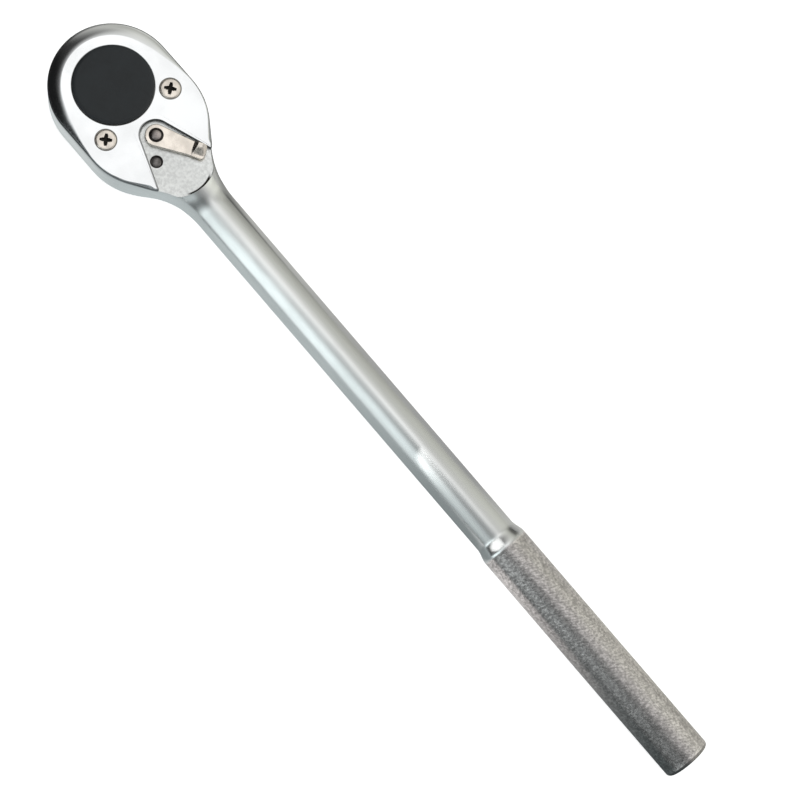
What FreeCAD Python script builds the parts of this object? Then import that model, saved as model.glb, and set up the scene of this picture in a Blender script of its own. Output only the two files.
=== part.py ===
import FreeCAD, Part
import math
import os

# Reversible square-drive ratchet wrench, millimetres.
# The origin lies on the drive axis, in the plane of the shoulder that a socket seats against.
# +Z leaves the covered side of the head, +X runs along the handle to the end of the grip.

# Drive square and its retaining ball
SQUARE = 19.05
SQUARE_LENGTH = 26.0
SQUARE_CHAMFER = 0.8
BALL_DEPTH = 13.5
BALL_R = 3.175
BALL_STAND = 1.1
BALL_HOLE_DEPTH = 13.0
BALL_SPRING_R = 2.775
BALL_SPRING_WIRE = 0.8
BALL_SPRING_TURNS = 4

# Levels of the head, up from the socket shoulder
HEAD_BOTTOM = 0.5
POCKET_FLOOR = 8.4
POCKET_ROOF = 19.0
HEAD_TOP = 23.7
COVER_THICKNESS = 3.0
DISC_STAND = 2.0
DISC_THICKNESS = 1.5
DISC_CHAMFER = 0.4

# Head outline in plan
HEAD_R = 34.3
FLANK_LENGTH = 24.0
SHOULDER_R = 38.0
NECK_R = 50.0
NECK_ROUND_R = 42.0
NECK_ROUND_REACH = math.radians(60)
NECK_OPEN_REACH = math.radians(59)
NECK_STRAIGHT = 12.1
TOP_FLAT_BACK = 12.5
TOP_MILL_BACK = 24.0
TOP_CUTTER_R = 19.0

# Shank and grip
AXIS_Z = 14.5
SHANK_R = 11.8
FLARE_START = 310.0
FLARE_LENGTH = 8.0
FLARE_EASE = 0.14
GRIP_R = 13.45
GRIP_LENGTH = 148.0
GRIP_EDGE_R = 2.5

# Ratchet gear
TEETH = 24
GEAR_R = 25.5
TOOTH_DEPTH = 2.8
TOOTH_FLANK = math.radians(30)
TOOTH_LAND = 1.4
GEAR_TOP = 22.8
HUB_STEP = 4.0
JOURNAL_R = 19.0
SEAL_WIDTH = 0.8
SEAL_HEIGHT = 2.2
WASHER_GAP = 0.3
DISC_SPIGOT_R = 8.0
DISC_SPIGOT_LENGTH = 2.5

# Selector: lever, cam spindle and detent
LEVER_REST = math.radians(30)
LEVER_EYE_R = 6.0
LEVER_TIP_X = 20.0
LEVER_TIP_HALF = 4.3
LEVER_THICKNESS = 2.6
LEVER_LIFT = 0.5
LEVER_SINK = 0.8
TAB_LENGTH = 7.5
TAB_HEIGHT = 4.2
TAB_WALL = 1.6
TAB_INSET = 0.4
TAB_LAP = 0.5
TAB_FOOT = 0.6
SPINDLE_END_R = 3.7
SPINDLE_SINK_R = 4.5
SPINDLE_DOME = 0.6
SPINDLE_DROP = 0.3
SPINDLE_CORE_R = 4.4
SPINDLE_FOOT_R = 4.0
SPINDLE_FOOT_DEPTH = 4.5
FLANGE_R = 7.6
FLANGE_THICKNESS = 1.7
CAM_R = 4.5
CAM_OFFSET = 4.3
CAM_GEAR_GAP = 0.4
DETENT_X = 5.9
DETENT_BALL_R = 1.5
DETENT_TRAVEL = 0.5
DETENT_HOLE_DEPTH = 5.5
DETENT_SPRING_R = 1.4
DETENT_WIRE = 0.4
DETENT_TURNS = 3
DIMPLE_R = 1.6

# Pawls: two mirror-image arms, one each side of the gear
PIN_BEHIND_PIVOT = 10.6
PIN_Y = 8.6
PIN_R = 3.5
PIN_FOOT_DEPTH = 5.5
PIN_RECESS = 1.2
PAWL_EYE_R = 6.2
PAWL_ARM = 5.15
PAWL_NOSE = 2.95
PAWL_BACK_END = math.radians(52)
PAWL_NOSE_OUT = math.radians(64.5)
PAWL_NOSE_IN = math.radians(67)
PAWL_PAD_OUT = 0.75
PAWL_PAD_Y = 3.8
PAWL_PAD_EDGE = 0.7
PAWL_PAD_SLOPE = math.radians(12)
PAWL_TEETH = (math.radians(45), math.radians(60))
PAWL_SWING = math.radians(8)
PAWL_TOOTH_ROOT = 0.5
POCKET_GAP = 0.4
POCKET_STEPS = 4
SPRING_ANGLE = math.radians(38)
SPRING_LEAN = math.radians(50)
SPRING_R = 2.5
SPRING_WIRE = 0.9
SPRING_REACH = 11.0
SPRING_PLAY = 0.2
SPRING_TURNS = 4

# Cover, screws and the V-shaped notch over the selector
NOTCH_R = 8.45
NOTCH_SPREAD = math.radians(20.5)
SCREW_ANGLE = math.radians(47.44)
SCREW_WALL = 0.92
SCREW_R = 3.0
SCREW_LENGTH = 7.4
SCREW_HEAD_R = 5.7
SCREW_DOME = 0.5
SCREW_RIM = 0.3
RECESS_WIDTH = 1.5
RECESS_SPAN = 6.4
RECESS_DEPTH = 2.4

# Clearances
RUN_FIT = 0.06
FACE_GAP = 0.05
GEAR_GAP = 0.45
TOOTH_PLAY = 0.15
PAWL_GEAR_GAP = 0.35
PAWL_FLANGE_GAP = 0.15
PAWL_ROOF_GAP = 0.2
PAST = 1.0

Z = FreeCAD.Vector(0, 0, 1)
NECK_RISE = SHANK_R + NECK_R - HEAD_R + SHOULDER_R
NECK_RUN = math.sqrt((SHOULDER_R + NECK_R) ** 2 + NECK_STRAIGHT**2 - NECK_RISE**2)
NECK_END = FLANK_LENGTH + NECK_RUN
GRIP_START = FLARE_START + FLARE_LENGTH
GRIP_END = GRIP_START + GRIP_LENGTH
COVER_TOP = HEAD_TOP + COVER_THICKNESS
DISC_TOP = COVER_TOP + DISC_STAND
DISC_BOTTOM = DISC_TOP - DISC_THICKNESS
GEAR_BOTTOM = POCKET_FLOOR + FACE_GAP
BORE_R = GEAR_R + GEAR_GAP
HUB_R = GEAR_R - HUB_STEP
PAWL_INNER_R = GEAR_R + PAWL_GEAR_GAP
PAWL_PAD_X = PAWL_INNER_R + PAWL_PAD_OUT
PIVOT_X = GEAR_R + CAM_GEAR_GAP + CAM_R + CAM_OFFSET
PIN_X = PIVOT_X + PIN_BEHIND_PIVOT
PAWL_BOTTOM = POCKET_FLOOR + FACE_GAP + FLANGE_THICKNESS + PAWL_FLANGE_GAP
PAWL_TOP = POCKET_ROOF - PAWL_ROOF_GAP
PIVOT = FreeCAD.Vector(PIVOT_X, 0, 0)
PIN = FreeCAD.Vector(PIN_X, PIN_Y, 0)
SCREW_OUT = BORE_R + SCREW_R + SCREW_WALL
SCREW = FreeCAD.Vector(SCREW_OUT * math.cos(SCREW_ANGLE), SCREW_OUT * math.sin(SCREW_ANGLE), 0)
DETENT = FreeCAD.Vector(PIVOT_X + DETENT_X, 0, 0)
PITCH = 2 * math.pi / TEETH


def at(x, y, z=0.0):
    return FreeCAD.Vector(x, y, z)


def polar(radius, angle, z=0.0):
    return FreeCAD.Vector(radius * math.cos(angle), radius * math.sin(angle), z)


def line(a, b):
    return Part.LineSegment(a, b).toShape()


def arc(a, middle, b):
    return Part.Arc(a, middle, b).toShape()


def prism(edges, bottom, top):
    face = Part.Face(Part.Wire(Part.__sortEdges__(edges)))
    face.translate(at(0, 0, bottom))
    return face.extrude(at(0, 0, top - bottom))


def polygon(points):
    return [line(a, b) for a, b in zip(points, points[1:] + points[:1])]


def disc(radius, bottom, top, centre=at(0, 0)):
    return Part.makeCylinder(radius, top - bottom, at(centre.x, centre.y, bottom), Z)


def cone(radius_bottom, radius_top, bottom, top, centre=at(0, 0)):
    foot = at(centre.x, centre.y, bottom)
    return Part.makeCone(radius_bottom, radius_top, top - bottom, foot, Z)


def dome(radius, height, base, centre=at(0, 0)):
    """Spherical cap of the given rim radius and height, standing on the level base."""
    ball_r = (radius**2 + height**2) / (2 * height)
    ball = Part.makeSphere(ball_r, at(centre.x, centre.y, base + height - ball_r))
    return ball.common(disc(radius, base, base + height, centre))


def mirrored(shape):
    return shape.mirror(at(0, 0), at(0, 1, 0))


def turned_about_z(shape, centre, angle):
    copy = shape.copy()
    copy.rotate(centre, Z, math.degrees(angle))
    return copy


def spring(radius, wire, start, direction, length, turns):
    """Open-ended compression spring whose outer radius, wire and end to end length are given."""
    rise = length - wire
    helix = Part.makeHelix(rise / turns, rise, radius - wire / 2)
    section = Part.makeCircle(wire / 2, at(radius - wire / 2, 0, 0), at(0, 1, 0))
    coil = Part.Wire(helix).makePipeShell([Part.Wire(section)], True, True)
    coil.translate(at(0, 0, wire / 2))
    coil.Placement = FreeCAD.Placement(start, FreeCAD.Rotation(Z, direction)).multiply(coil.Placement)
    return coil


def cross_tangent():
    """Turn, from +Y towards +X, of the normal to the line that touches both shoulder and neck arcs."""
    lean = math.acos((SHOULDER_R + NECK_R) / math.hypot(NECK_RUN, NECK_RISE))
    return math.pi / 2 - math.atan2(NECK_RISE, NECK_RUN) - lean


def flank_edges(side):
    """Straight flank, convex shoulder, short straight and concave neck of one side of the head."""
    turn = cross_tangent()
    shoulder_y = HEAD_R - SHOULDER_R
    neck_y = SHANK_R + NECK_R

    def shoulder(angle):
        x = FLANK_LENGTH + SHOULDER_R * math.sin(angle)
        return at(x, side * (shoulder_y + SHOULDER_R * math.cos(angle)))

    def neck(angle):
        return at(NECK_END - NECK_R * math.sin(angle), side * (neck_y - NECK_R * math.cos(angle)))

    return [
        line(at(0, side * HEAD_R), shoulder(0)),
        arc(shoulder(0), shoulder(turn / 2), shoulder(turn)),
        line(shoulder(turn), neck(turn)),
        arc(neck(turn), neck(turn / 2), neck(0)),
    ]


def head_outline():
    front = arc(at(0, HEAD_R), at(-HEAD_R, 0), at(0, -HEAD_R))
    end = line(at(NECK_END, SHANK_R), at(NECK_END, -SHANK_R))
    return [front, end] + flank_edges(1) + flank_edges(-1)


def round_bar():
    """Everything turned about the handle axis: the neck's rounding, the shank, the flare and the grip."""
    reach = NECK_ROUND_REACH
    neck_y = SHANK_R + NECK_ROUND_R

    def neck(angle):
        return at(NECK_END - NECK_ROUND_R * math.sin(angle), neck_y - NECK_ROUND_R * math.cos(angle))

    flare_mid = at(FLARE_START + FLARE_LENGTH / 2, (SHANK_R + GRIP_R) / 2)
    ease = (GRIP_R - SHANK_R) * FLARE_EASE
    flare_low = at(FLARE_START + FLARE_LENGTH / 4, SHANK_R + ease)
    flare_high = at(FLARE_START + FLARE_LENGTH * 3 / 4, GRIP_R - ease)
    edge = GRIP_EDGE_R * (1 - math.sqrt(0.5))
    edge_start = at(GRIP_END - GRIP_EDGE_R, GRIP_R)
    edge_end = at(GRIP_END, GRIP_R - GRIP_EDGE_R)
    profile = [
        line(at(neck(reach).x, 0), neck(reach)),
        arc(neck(reach), neck(reach / 2), neck(0)),
        line(neck(0), at(FLARE_START, SHANK_R)),
        arc(at(FLARE_START, SHANK_R), flare_low, flare_mid),
        arc(flare_mid, flare_high, at(GRIP_START, GRIP_R)),
        line(at(GRIP_START, GRIP_R), edge_start),
        arc(edge_start, at(GRIP_END - edge, GRIP_R - edge), edge_end),
        line(edge_end, at(GRIP_END, 0)),
        line(at(GRIP_END, 0), at(neck(reach).x, 0)),
    ]
    bar = Part.Face(Part.Wire(profile)).revolve(at(0, 0), at(1, 0, 0), 360)
    bar.translate(at(0, 0, AXIS_Z))
    return bar


def neck_limit():
    """The space that the head and its cover keep inside: open over the head, turned round along the neck."""
    open_end = NECK_END - NECK_ROUND_R * math.sin(NECK_OPEN_REACH)
    side = 4 * HEAD_R
    corner = at(-side / 2, -side / 2, -side / 2)
    return Part.makeBox(open_end + side / 2, side, side, corner).fuse(round_bar())


def pawl_blank(grow=0.0):
    """Plan of the +Y pawl's arm in mesh, without its teeth and eye, grown by a clearance."""
    inner = PAWL_INNER_R - grow
    back = PAWL_INNER_R + PAWL_ARM + grow
    nose = PAWL_INNER_R + PAWL_NOSE + grow
    out_end = PAWL_NOSE_OUT + grow / nose
    in_end = PAWL_NOSE_IN + grow / inner
    top_y = PIN_Y + PAWL_EYE_R + grow
    back_start = math.asin(top_y / back)
    pad = at(PAWL_PAD_X, PAWL_PAD_Y - grow)
    pad_end = at(PIN_X, pad.y + (PIN_X - PAWL_PAD_X) * math.tan(PAWL_PAD_SLOPE))
    pad_angle = math.asin((pad.y + PAWL_PAD_EDGE) / inner)
    back_middle = (back_start + PAWL_BACK_END) / 2
    return [
        arc(polar(inner, in_end), polar(inner, (in_end + pad_angle) / 2), polar(inner, pad_angle)),
        line(polar(inner, pad_angle), pad),
        line(pad, pad_end),
        line(pad_end, at(PIN_X, top_y)),
        line(at(PIN_X, top_y), polar(back, back_start)),
        arc(polar(back, back_start), polar(back, back_middle), polar(back, PAWL_BACK_END)),
        line(polar(back, PAWL_BACK_END), polar(nose, out_end)),
        line(polar(nose, out_end), polar(inner, in_end)),
    ]


def pawl_solid(bottom, top, grow=0.0):
    return prism(pawl_blank(grow), bottom, top).fuse(disc(PAWL_EYE_R + grow, bottom, top, PIN))


def gap_half_width(radius):
    """Half the width of a tooth gap of the gear at a radius near its teeth."""
    at_tip = GEAR_R * math.tan(PITCH / 2 - TOOTH_LAND / 2 / GEAR_R)
    return at_tip - (GEAR_R - radius) * math.tan(TOOTH_FLANK)


def pawl():
    """The +Y pawl in mesh with the gear."""
    body = pawl_solid(PAWL_BOTTOM, PAWL_TOP)
    slack = TOOTH_PLAY / math.cos(TOOTH_FLANK)
    tip = GEAR_R - TOOTH_DEPTH + 2 * TOOTH_PLAY
    base = PAWL_INNER_R + PAWL_TOOTH_ROOT
    for angle in PAWL_TEETH:
        low = gap_half_width(tip) - slack
        high = gap_half_width(base) - slack
        corners = [at(tip, -low), at(base, -high), at(base, high), at(tip, low)]
        tooth = prism(polygon(corners), PAWL_BOTTOM, PAWL_TOP)
        body = body.fuse(turned_about_z(tooth, at(0, 0), angle))
    body = body.cut(disc(PIN_R + RUN_FIT, PAWL_BOTTOM, PAWL_TOP, PIN))
    return body.removeSplitter()


def pawl_pocket():
    """Space for both pawls over their whole swing, and for the selector's flange and cam."""
    reach = max(FLANGE_R, CAM_OFFSET + CAM_R) + POCKET_GAP
    space = disc(reach, POCKET_FLOOR, POCKET_ROOF, PIVOT)
    blank = pawl_solid(POCKET_FLOOR, POCKET_ROOF, POCKET_GAP)
    for step in range(POCKET_STEPS + 1):
        swung = turned_about_z(blank, PIN, -PAWL_SWING * step / POCKET_STEPS)
        space = space.fuse([swung, mirrored(swung)])
    return space


def spring_seat_line():
    """Point on the back of the +Y pawl in mesh, and the direction its spring leans in."""
    foot = polar(PAWL_INNER_R + PAWL_ARM, SPRING_ANGLE, (PAWL_BOTTOM + PAWL_TOP) / 2)
    return foot, polar(1, SPRING_LEAN)


def pawl_spring(swing=0.0):
    """Spring behind the +Y pawl, pressed shorter when the pawl has swung away from the gear."""
    foot, lean = spring_seat_line()
    offset = foot - PIN
    moved = PIN + FreeCAD.Rotation(Z, -math.degrees(swing)).multVec(at(offset.x, offset.y, foot.z))
    tilt = SPRING_LEAN - SPRING_ANGLE + swing
    start = (moved - foot).dot(lean) + SPRING_R * math.tan(tilt) + SPRING_PLAY
    length = SPRING_REACH - start - FACE_GAP
    return spring(SPRING_R, SPRING_WIRE, foot + lean * start, lean, length, SPRING_TURNS)


def spring_seat():
    foot, lean = spring_seat_line()
    return Part.makeCylinder(SPRING_R + SPRING_PLAY, SPRING_REACH, foot, lean)


def top_mill():
    """What the mill takes off the top of the head: level up to a round end in the neck."""
    side = 4 * HEAD_R
    corner = at(-side / 2, -side / 2, HEAD_TOP)
    straight = Part.makeBox(side / 2 + NECK_END - TOP_MILL_BACK, side, side, corner)
    cutter = at(NECK_END - TOP_FLAT_BACK - TOP_CUTTER_R, 0)
    round_end = disc(TOP_CUTTER_R, HEAD_TOP, HEAD_TOP + side, cutter)
    return straight.fuse(round_end)


def handle():
    """The forging: head, neck, shank and grip in one piece, with its bores and pockets."""
    slab = prism(head_outline(), HEAD_BOTTOM, AXIS_Z + SHANK_R)
    side = 4 * HEAD_R
    head_side = Part.makeBox(NECK_END, side, side, at(0, -side / 2, -side / 2))
    forging = slab.common(neck_limit()).fuse(round_bar().cut(head_side))
    foot_bottom = POCKET_FLOOR - SPINDLE_FOOT_DEPTH - FACE_GAP
    cuts = [
        top_mill(),
        disc(BORE_R, POCKET_FLOOR, HEAD_TOP + PAST),
        disc(JOURNAL_R + RUN_FIT, 0, POCKET_FLOOR + PAST),
        pawl_pocket(),
        disc(SPINDLE_FOOT_R + RUN_FIT, foot_bottom, POCKET_FLOOR, PIVOT),
        disc(SPINDLE_END_R + RUN_FIT, POCKET_ROOF - PAST, HEAD_TOP + PAST, PIVOT),
        disc(DETENT_BALL_R + RUN_FIT, POCKET_FLOOR - DETENT_HOLE_DEPTH, POCKET_FLOOR, DETENT),
    ]
    pin = disc(PIN_R, POCKET_FLOOR - PIN_FOOT_DEPTH, HEAD_TOP + PAST, PIN)
    for hole in (countersink(FACE_GAP), pin, spring_seat()):
        cuts += [hole, mirrored(hole)]
    for tool in cuts:
        forging = forging.cut(tool)
    return forging.removeSplitter()


def notch():
    """Plan of the V-shaped opening: an arc round the pivot and two edges that run out past the head."""
    reach = NECK_END
    side = math.pi / 2 + NOTCH_SPREAD
    upper = PIVOT + polar(NOTCH_R, side)
    lower = PIVOT + polar(NOTCH_R, -side)
    far_upper = upper + polar(reach, NOTCH_SPREAD)
    far_lower = lower + polar(reach, -NOTCH_SPREAD)
    apex = arc(upper, PIVOT + polar(NOTCH_R, math.pi), lower)
    return [apex, line(upper, far_upper), line(far_upper, far_lower), line(far_lower, lower)]


def countersink(grow=0.0):
    """Cone of a screw head, from the cover's top face down, and the screw's shank below it."""
    cone_bottom = COVER_TOP - (SCREW_HEAD_R - SCREW_R)
    sink = cone(SCREW_R + grow, SCREW_HEAD_R + grow, cone_bottom, COVER_TOP, SCREW)
    return sink.fuse(disc(SCREW_R + grow, COVER_TOP - SCREW_LENGTH - grow, cone_bottom, SCREW))


def cover_plate():
    plate = prism(head_outline(), HEAD_TOP, COVER_TOP).common(neck_limit())
    plate = plate.cut(prism(notch(), HEAD_TOP - PAST, COVER_TOP + PAST))
    plate = plate.cut(disc(HUB_R + 2 * RUN_FIT, HEAD_TOP - PAST, COVER_TOP + PAST))
    plate = plate.cut(disc(HUB_R + SEAL_WIDTH, COVER_TOP - SEAL_HEIGHT, COVER_TOP + PAST))
    for hole in (countersink(FACE_GAP), mirrored(countersink(FACE_GAP))):
        plate = plate.cut(hole)
    return plate.removeSplitter()


def cover_screw():
    screw = countersink().fuse(dome(SCREW_HEAD_R - SCREW_RIM, SCREW_DOME, COVER_TOP, SCREW))
    floor = COVER_TOP + SCREW_DOME - RECESS_DEPTH
    for width, span in ((RECESS_WIDTH, RECESS_SPAN), (RECESS_SPAN, RECESS_WIDTH)):
        corner = SCREW + at(-width / 2, -span / 2, floor)
        screw = screw.cut(Part.makeBox(width, span, RECESS_DEPTH + PAST, corner))
    return screw


def cover_screws():
    return Part.makeCompound([cover_screw(), mirrored(cover_screw())])


def gear_blank():
    """Toothed ring with a tooth gap centred on the +X axis."""
    root = GEAR_R - TOOTH_DEPTH
    ring = disc(GEAR_R, GEAR_BOTTOM, GEAR_TOP)
    reach = GEAR_R + PAST
    corners = [
        at(root, -gap_half_width(root)),
        at(reach, -gap_half_width(reach)),
        at(reach, gap_half_width(reach)),
        at(root, gap_half_width(root)),
    ]
    gap = prism(polygon(corners), GEAR_BOTTOM - PAST, GEAR_TOP + PAST)
    gaps = [turned_about_z(gap, at(0, 0), PITCH * k) for k in range(TEETH)]
    return ring.cut(gaps)


def drive_square():
    """The square, with its corners and the rim of its end chamfered, reaching into the journal above."""
    half = SQUARE / 2
    block = Part.makeBox(SQUARE, SQUARE, SQUARE_LENGTH + PAST, at(-half, -half, -SQUARE_LENGTH))
    sides_and_end = [e for e in block.Edges if min(v.Z for v in e.Vertexes) < -SQUARE_LENGTH / 2]
    return block.makeChamfer(SQUARE_CHAMFER, sides_and_end)


def ball_centre():
    return at(-(SQUARE / 2 + BALL_STAND - BALL_R), 0, -BALL_DEPTH)


def ratchet_gear():
    gear = gear_blank()
    gear = gear.fuse(disc(JOURNAL_R, 0, GEAR_BOTTOM))
    gear = gear.fuse(disc(HUB_R, GEAR_TOP, DISC_BOTTOM))
    gear = gear.fuse(drive_square())
    gear = gear.cut(disc(DISC_SPIGOT_R, DISC_BOTTOM - DISC_SPIGOT_LENGTH, DISC_TOP))
    mouth = at(-SQUARE, 0, -BALL_DEPTH)
    hole = Part.makeCylinder(BALL_R + RUN_FIT, SQUARE / 2 + BALL_HOLE_DEPTH, mouth, at(1, 0, 0))
    return gear.cut(hole).removeSplitter()


def hub_disc():
    """Cap with a chamfered rim, and a spigot that is pressed into the hub."""
    cap = disc(HUB_R, DISC_BOTTOM, DISC_TOP - DISC_CHAMFER)
    cap = cap.fuse(cone(HUB_R, HUB_R - DISC_CHAMFER, DISC_TOP - DISC_CHAMFER, DISC_TOP))
    spigot = disc(DISC_SPIGOT_R, DISC_BOTTOM - DISC_SPIGOT_LENGTH, DISC_BOTTOM)
    return cap.fuse(spigot).removeSplitter()


def thrust_washer():
    bottom = GEAR_TOP + FACE_GAP
    ring = disc(BORE_R - FACE_GAP, bottom, HEAD_TOP)
    return ring.cut(disc(HUB_R + WASHER_GAP, bottom, HEAD_TOP))


def hub_seal():
    """Dark ring that fills the gap round the hub, seated in the cover."""
    ring = disc(HUB_R + SEAL_WIDTH, COVER_TOP - SEAL_HEIGHT, COVER_TOP - FACE_GAP)
    return ring.cut(disc(HUB_R + RUN_FIT, HEAD_TOP, COVER_TOP + PAST))


def drive_ball():
    return Part.makeSphere(BALL_R, ball_centre())


def drive_ball_spring():
    centre = ball_centre()
    far = at(-SQUARE / 2 + BALL_HOLE_DEPTH, 0, -BALL_DEPTH)
    start = at(centre.x + BALL_R + FACE_GAP, 0, -BALL_DEPTH)
    length = far.x - start.x - FACE_GAP
    return spring(BALL_SPRING_R, BALL_SPRING_WIRE, start, at(1, 0, 0), length, BALL_SPRING_TURNS)


def thumb_tab(bottom, top):
    """Raised end of the lever, drawn from the side and carried across it."""
    start = LEVER_TIP_X - TAB_LAP
    end = LEVER_TIP_X + TAB_LENGTH
    crest = top + TAB_HEIGHT - TAB_WALL
    side = [
        at(start, 0, bottom + TAB_FOOT),
        at(start, 0, top),
        at(end - TAB_WALL, 0, crest),
        at(end, 0, crest),
        at(end, 0, crest - TAB_WALL),
    ]
    width = 2 * (LEVER_TIP_HALF - TAB_INSET)
    tab = Part.Face(Part.Wire(polygon(side))).extrude(at(0, width, 0))
    tab.translate(at(0, -width / 2, 0))
    return tab


def reversing_lever():
    """Flat lever with an eye, tapering to its thumb tab, built along +X and then turned to rest."""
    bottom = HEAD_TOP + LEVER_LIFT
    top = bottom + LEVER_THICKNESS
    lean = math.asin((LEVER_EYE_R - LEVER_TIP_HALF) / LEVER_TIP_X)
    shoulder = polar(LEVER_EYE_R, math.pi / 2 - lean)
    below = at(shoulder.x, -shoulder.y)
    tip = at(LEVER_TIP_X, LEVER_TIP_HALF)
    tip_below = at(LEVER_TIP_X, -LEVER_TIP_HALF)
    eye = arc(shoulder, at(-LEVER_EYE_R, 0), below)
    outline = [eye, line(shoulder, tip), line(tip, tip_below), line(tip_below, below)]
    lever = prism(outline, bottom, top).fuse(thumb_tab(bottom, top))
    lever = lever.cut(disc(SPINDLE_END_R, bottom, top))
    lever = lever.cut(cone(SPINDLE_END_R, SPINDLE_SINK_R, top - LEVER_SINK, top))
    lever.rotate(at(0, 0), Z, math.degrees(LEVER_REST))
    lever.translate(PIVOT)
    return lever.removeSplitter()


def lever_washer():
    top = HEAD_TOP + LEVER_LIFT - FACE_GAP
    ring = disc(LEVER_EYE_R - WASHER_GAP, HEAD_TOP + FACE_GAP, top, PIVOT)
    return ring.cut(disc(SPINDLE_END_R + RUN_FIT, HEAD_TOP, top, PIVOT))


def cam_spindle():
    """Foot, flange with two detent dimples, cam towards the gear, core, and the riveted end in the lever."""
    foot_bottom = POCKET_FLOOR - SPINDLE_FOOT_DEPTH
    flange_bottom = POCKET_FLOOR + FACE_GAP
    flange_top = flange_bottom + FLANGE_THICKNESS
    end = HEAD_TOP + LEVER_LIFT + LEVER_THICKNESS - SPINDLE_DROP
    lobe = at(PIVOT_X - CAM_OFFSET, 0)
    spindle = disc(SPINDLE_FOOT_R, foot_bottom, flange_bottom, PIVOT)
    spindle = spindle.fuse(disc(FLANGE_R, flange_bottom, flange_top, PIVOT))
    spindle = spindle.fuse(disc(SPINDLE_CORE_R, flange_top, PAWL_TOP, PIVOT))
    spindle = spindle.fuse(disc(CAM_R, flange_top, PAWL_TOP, lobe))
    spindle = spindle.fuse(disc(SPINDLE_END_R, PAWL_TOP, end, PIVOT))
    spindle = spindle.fuse(dome(SPINDLE_END_R - RUN_FIT, SPINDLE_DOME, end, PIVOT))
    dimple = Part.makeSphere(DIMPLE_R, DETENT + at(0, 0, POCKET_FLOOR - DETENT_BALL_R + DETENT_TRAVEL))
    for side in (-1, 1):
        spindle = spindle.cut(turned_about_z(dimple, PIVOT, side * LEVER_REST))
    return turned_about_z(spindle.removeSplitter(), PIVOT, LEVER_REST)


def detent_ball():
    """Ball under the flange, level with the pocket floor as the flange holds it between its two dimples."""
    return Part.makeSphere(DETENT_BALL_R, DETENT + at(0, 0, POCKET_FLOOR - DETENT_BALL_R))


def detent_spring():
    start = DETENT + at(0, 0, POCKET_FLOOR - DETENT_HOLE_DEPTH + FACE_GAP)
    length = DETENT_HOLE_DEPTH - 2 * DETENT_BALL_R - 2 * FACE_GAP
    return spring(DETENT_SPRING_R, DETENT_WIRE, start, Z, length, DETENT_TURNS)


def pawl_pin():
    return disc(PIN_R, POCKET_FLOOR - PIN_FOOT_DEPTH, HEAD_TOP - PIN_RECESS, PIN)


def lifted(shape):
    """A +Y pawl swung clear of the gear by its share of the selector's turn."""
    return turned_about_z(shape, PIN, -PAWL_SWING)


def main():
    os.makedirs("parts", exist_ok=True)
    nodes = {
        "handle": handle(),
        "cover_plate": cover_plate(),
        "cover_screws": cover_screws(),
        "ratchet_gear": ratchet_gear(),
        "hub_disc": hub_disc(),
        "thrust_washer": thrust_washer(),
        "hub_seal": hub_seal(),
        "drive_ball": drive_ball(),
        "drive_ball_spring": drive_ball_spring(),
        "reversing_lever": reversing_lever(),
        "lever_washer": lever_washer(),
        "cam_spindle": cam_spindle(),
        "detent_ball": detent_ball(),
        "detent_spring": detent_spring(),
        "pawl_left": pawl(),
        "pawl_right": mirrored(lifted(pawl())),
        "pawl_pin_left": pawl_pin(),
        "pawl_pin_right": mirrored(pawl_pin()),
        "pawl_spring_left": pawl_spring(),
        "pawl_spring_right": mirrored(pawl_spring(PAWL_SWING)),
    }
    for name, shape in nodes.items():
        shape.exportStep("parts/" + name + ".step")
        state = "valid" if shape.isValid() else "not valid"
        print(name, len(shape.Solids), "solids", state, round(shape.Volume, 1))


main()
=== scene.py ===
import math

import bmesh
import bpy
import numpy as np
from mathutils import Matrix, Vector


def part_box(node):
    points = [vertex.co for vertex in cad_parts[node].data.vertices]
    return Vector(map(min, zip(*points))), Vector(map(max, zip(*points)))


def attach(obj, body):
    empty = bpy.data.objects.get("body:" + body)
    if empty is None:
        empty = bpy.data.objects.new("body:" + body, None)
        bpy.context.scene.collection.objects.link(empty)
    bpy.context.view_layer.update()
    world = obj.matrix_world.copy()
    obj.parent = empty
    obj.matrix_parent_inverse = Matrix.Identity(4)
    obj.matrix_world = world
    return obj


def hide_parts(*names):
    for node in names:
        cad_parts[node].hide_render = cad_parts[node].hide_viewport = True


bl_info = {
    "name": "Ratchet wrench",
    "version": (1, 0, 0),
    "blender": (4, 5, 0),
    "location": "3D View > Sidebar > Ratchet wrench",
    "description": "Forging, cover, lever, screws and finishes of a long ratchet wrench",
    "category": "Object",
}

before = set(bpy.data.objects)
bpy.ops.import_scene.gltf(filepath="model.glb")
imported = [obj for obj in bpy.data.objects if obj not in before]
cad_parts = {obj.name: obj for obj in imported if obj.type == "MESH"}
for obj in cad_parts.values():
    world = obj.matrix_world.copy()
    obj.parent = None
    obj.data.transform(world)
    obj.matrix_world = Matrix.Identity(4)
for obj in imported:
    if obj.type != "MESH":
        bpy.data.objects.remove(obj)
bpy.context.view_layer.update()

# Lengths inside the shape functions are millimetres; meshes are in metres.
MM = 0.001

# Head and neck
HEAD_R = 34.3
FLANK = 24.0
SHOULDER_R = 38.0
NECK_R = 50.0
NECK_STRAIGHT = 12.1
NECK_ROUND_R = 42.0
HEAD_FLOOR = 0.5
HEAD_TOP = 23.7
AXIS_Z = 14.5
SHANK_R = 11.8
MILL_END_BACK = 12.5
MILL_R = 19.0
MILL_BULGE_LIMIT = 6.6
CORNER_POWER = 22.0
TOP_EDGE = 0.3

# Shank and grip
FLARE_START = 310.0
GRIP_START = 318.0
GRIP_R = 13.45
GRIP_END = 466.0
GRIP_EDGE = 2.5

# Knurl: seed and spread of the depth of its diamonds, and the share that the crests lose
KNURL_SEED = 7
KNURL_SPREAD = (0.35, 1.1)
CREST_WEAR = 0.3

# Height of the steel's grain, in metres
GRAIN_HEIGHT = 0.0002

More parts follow.
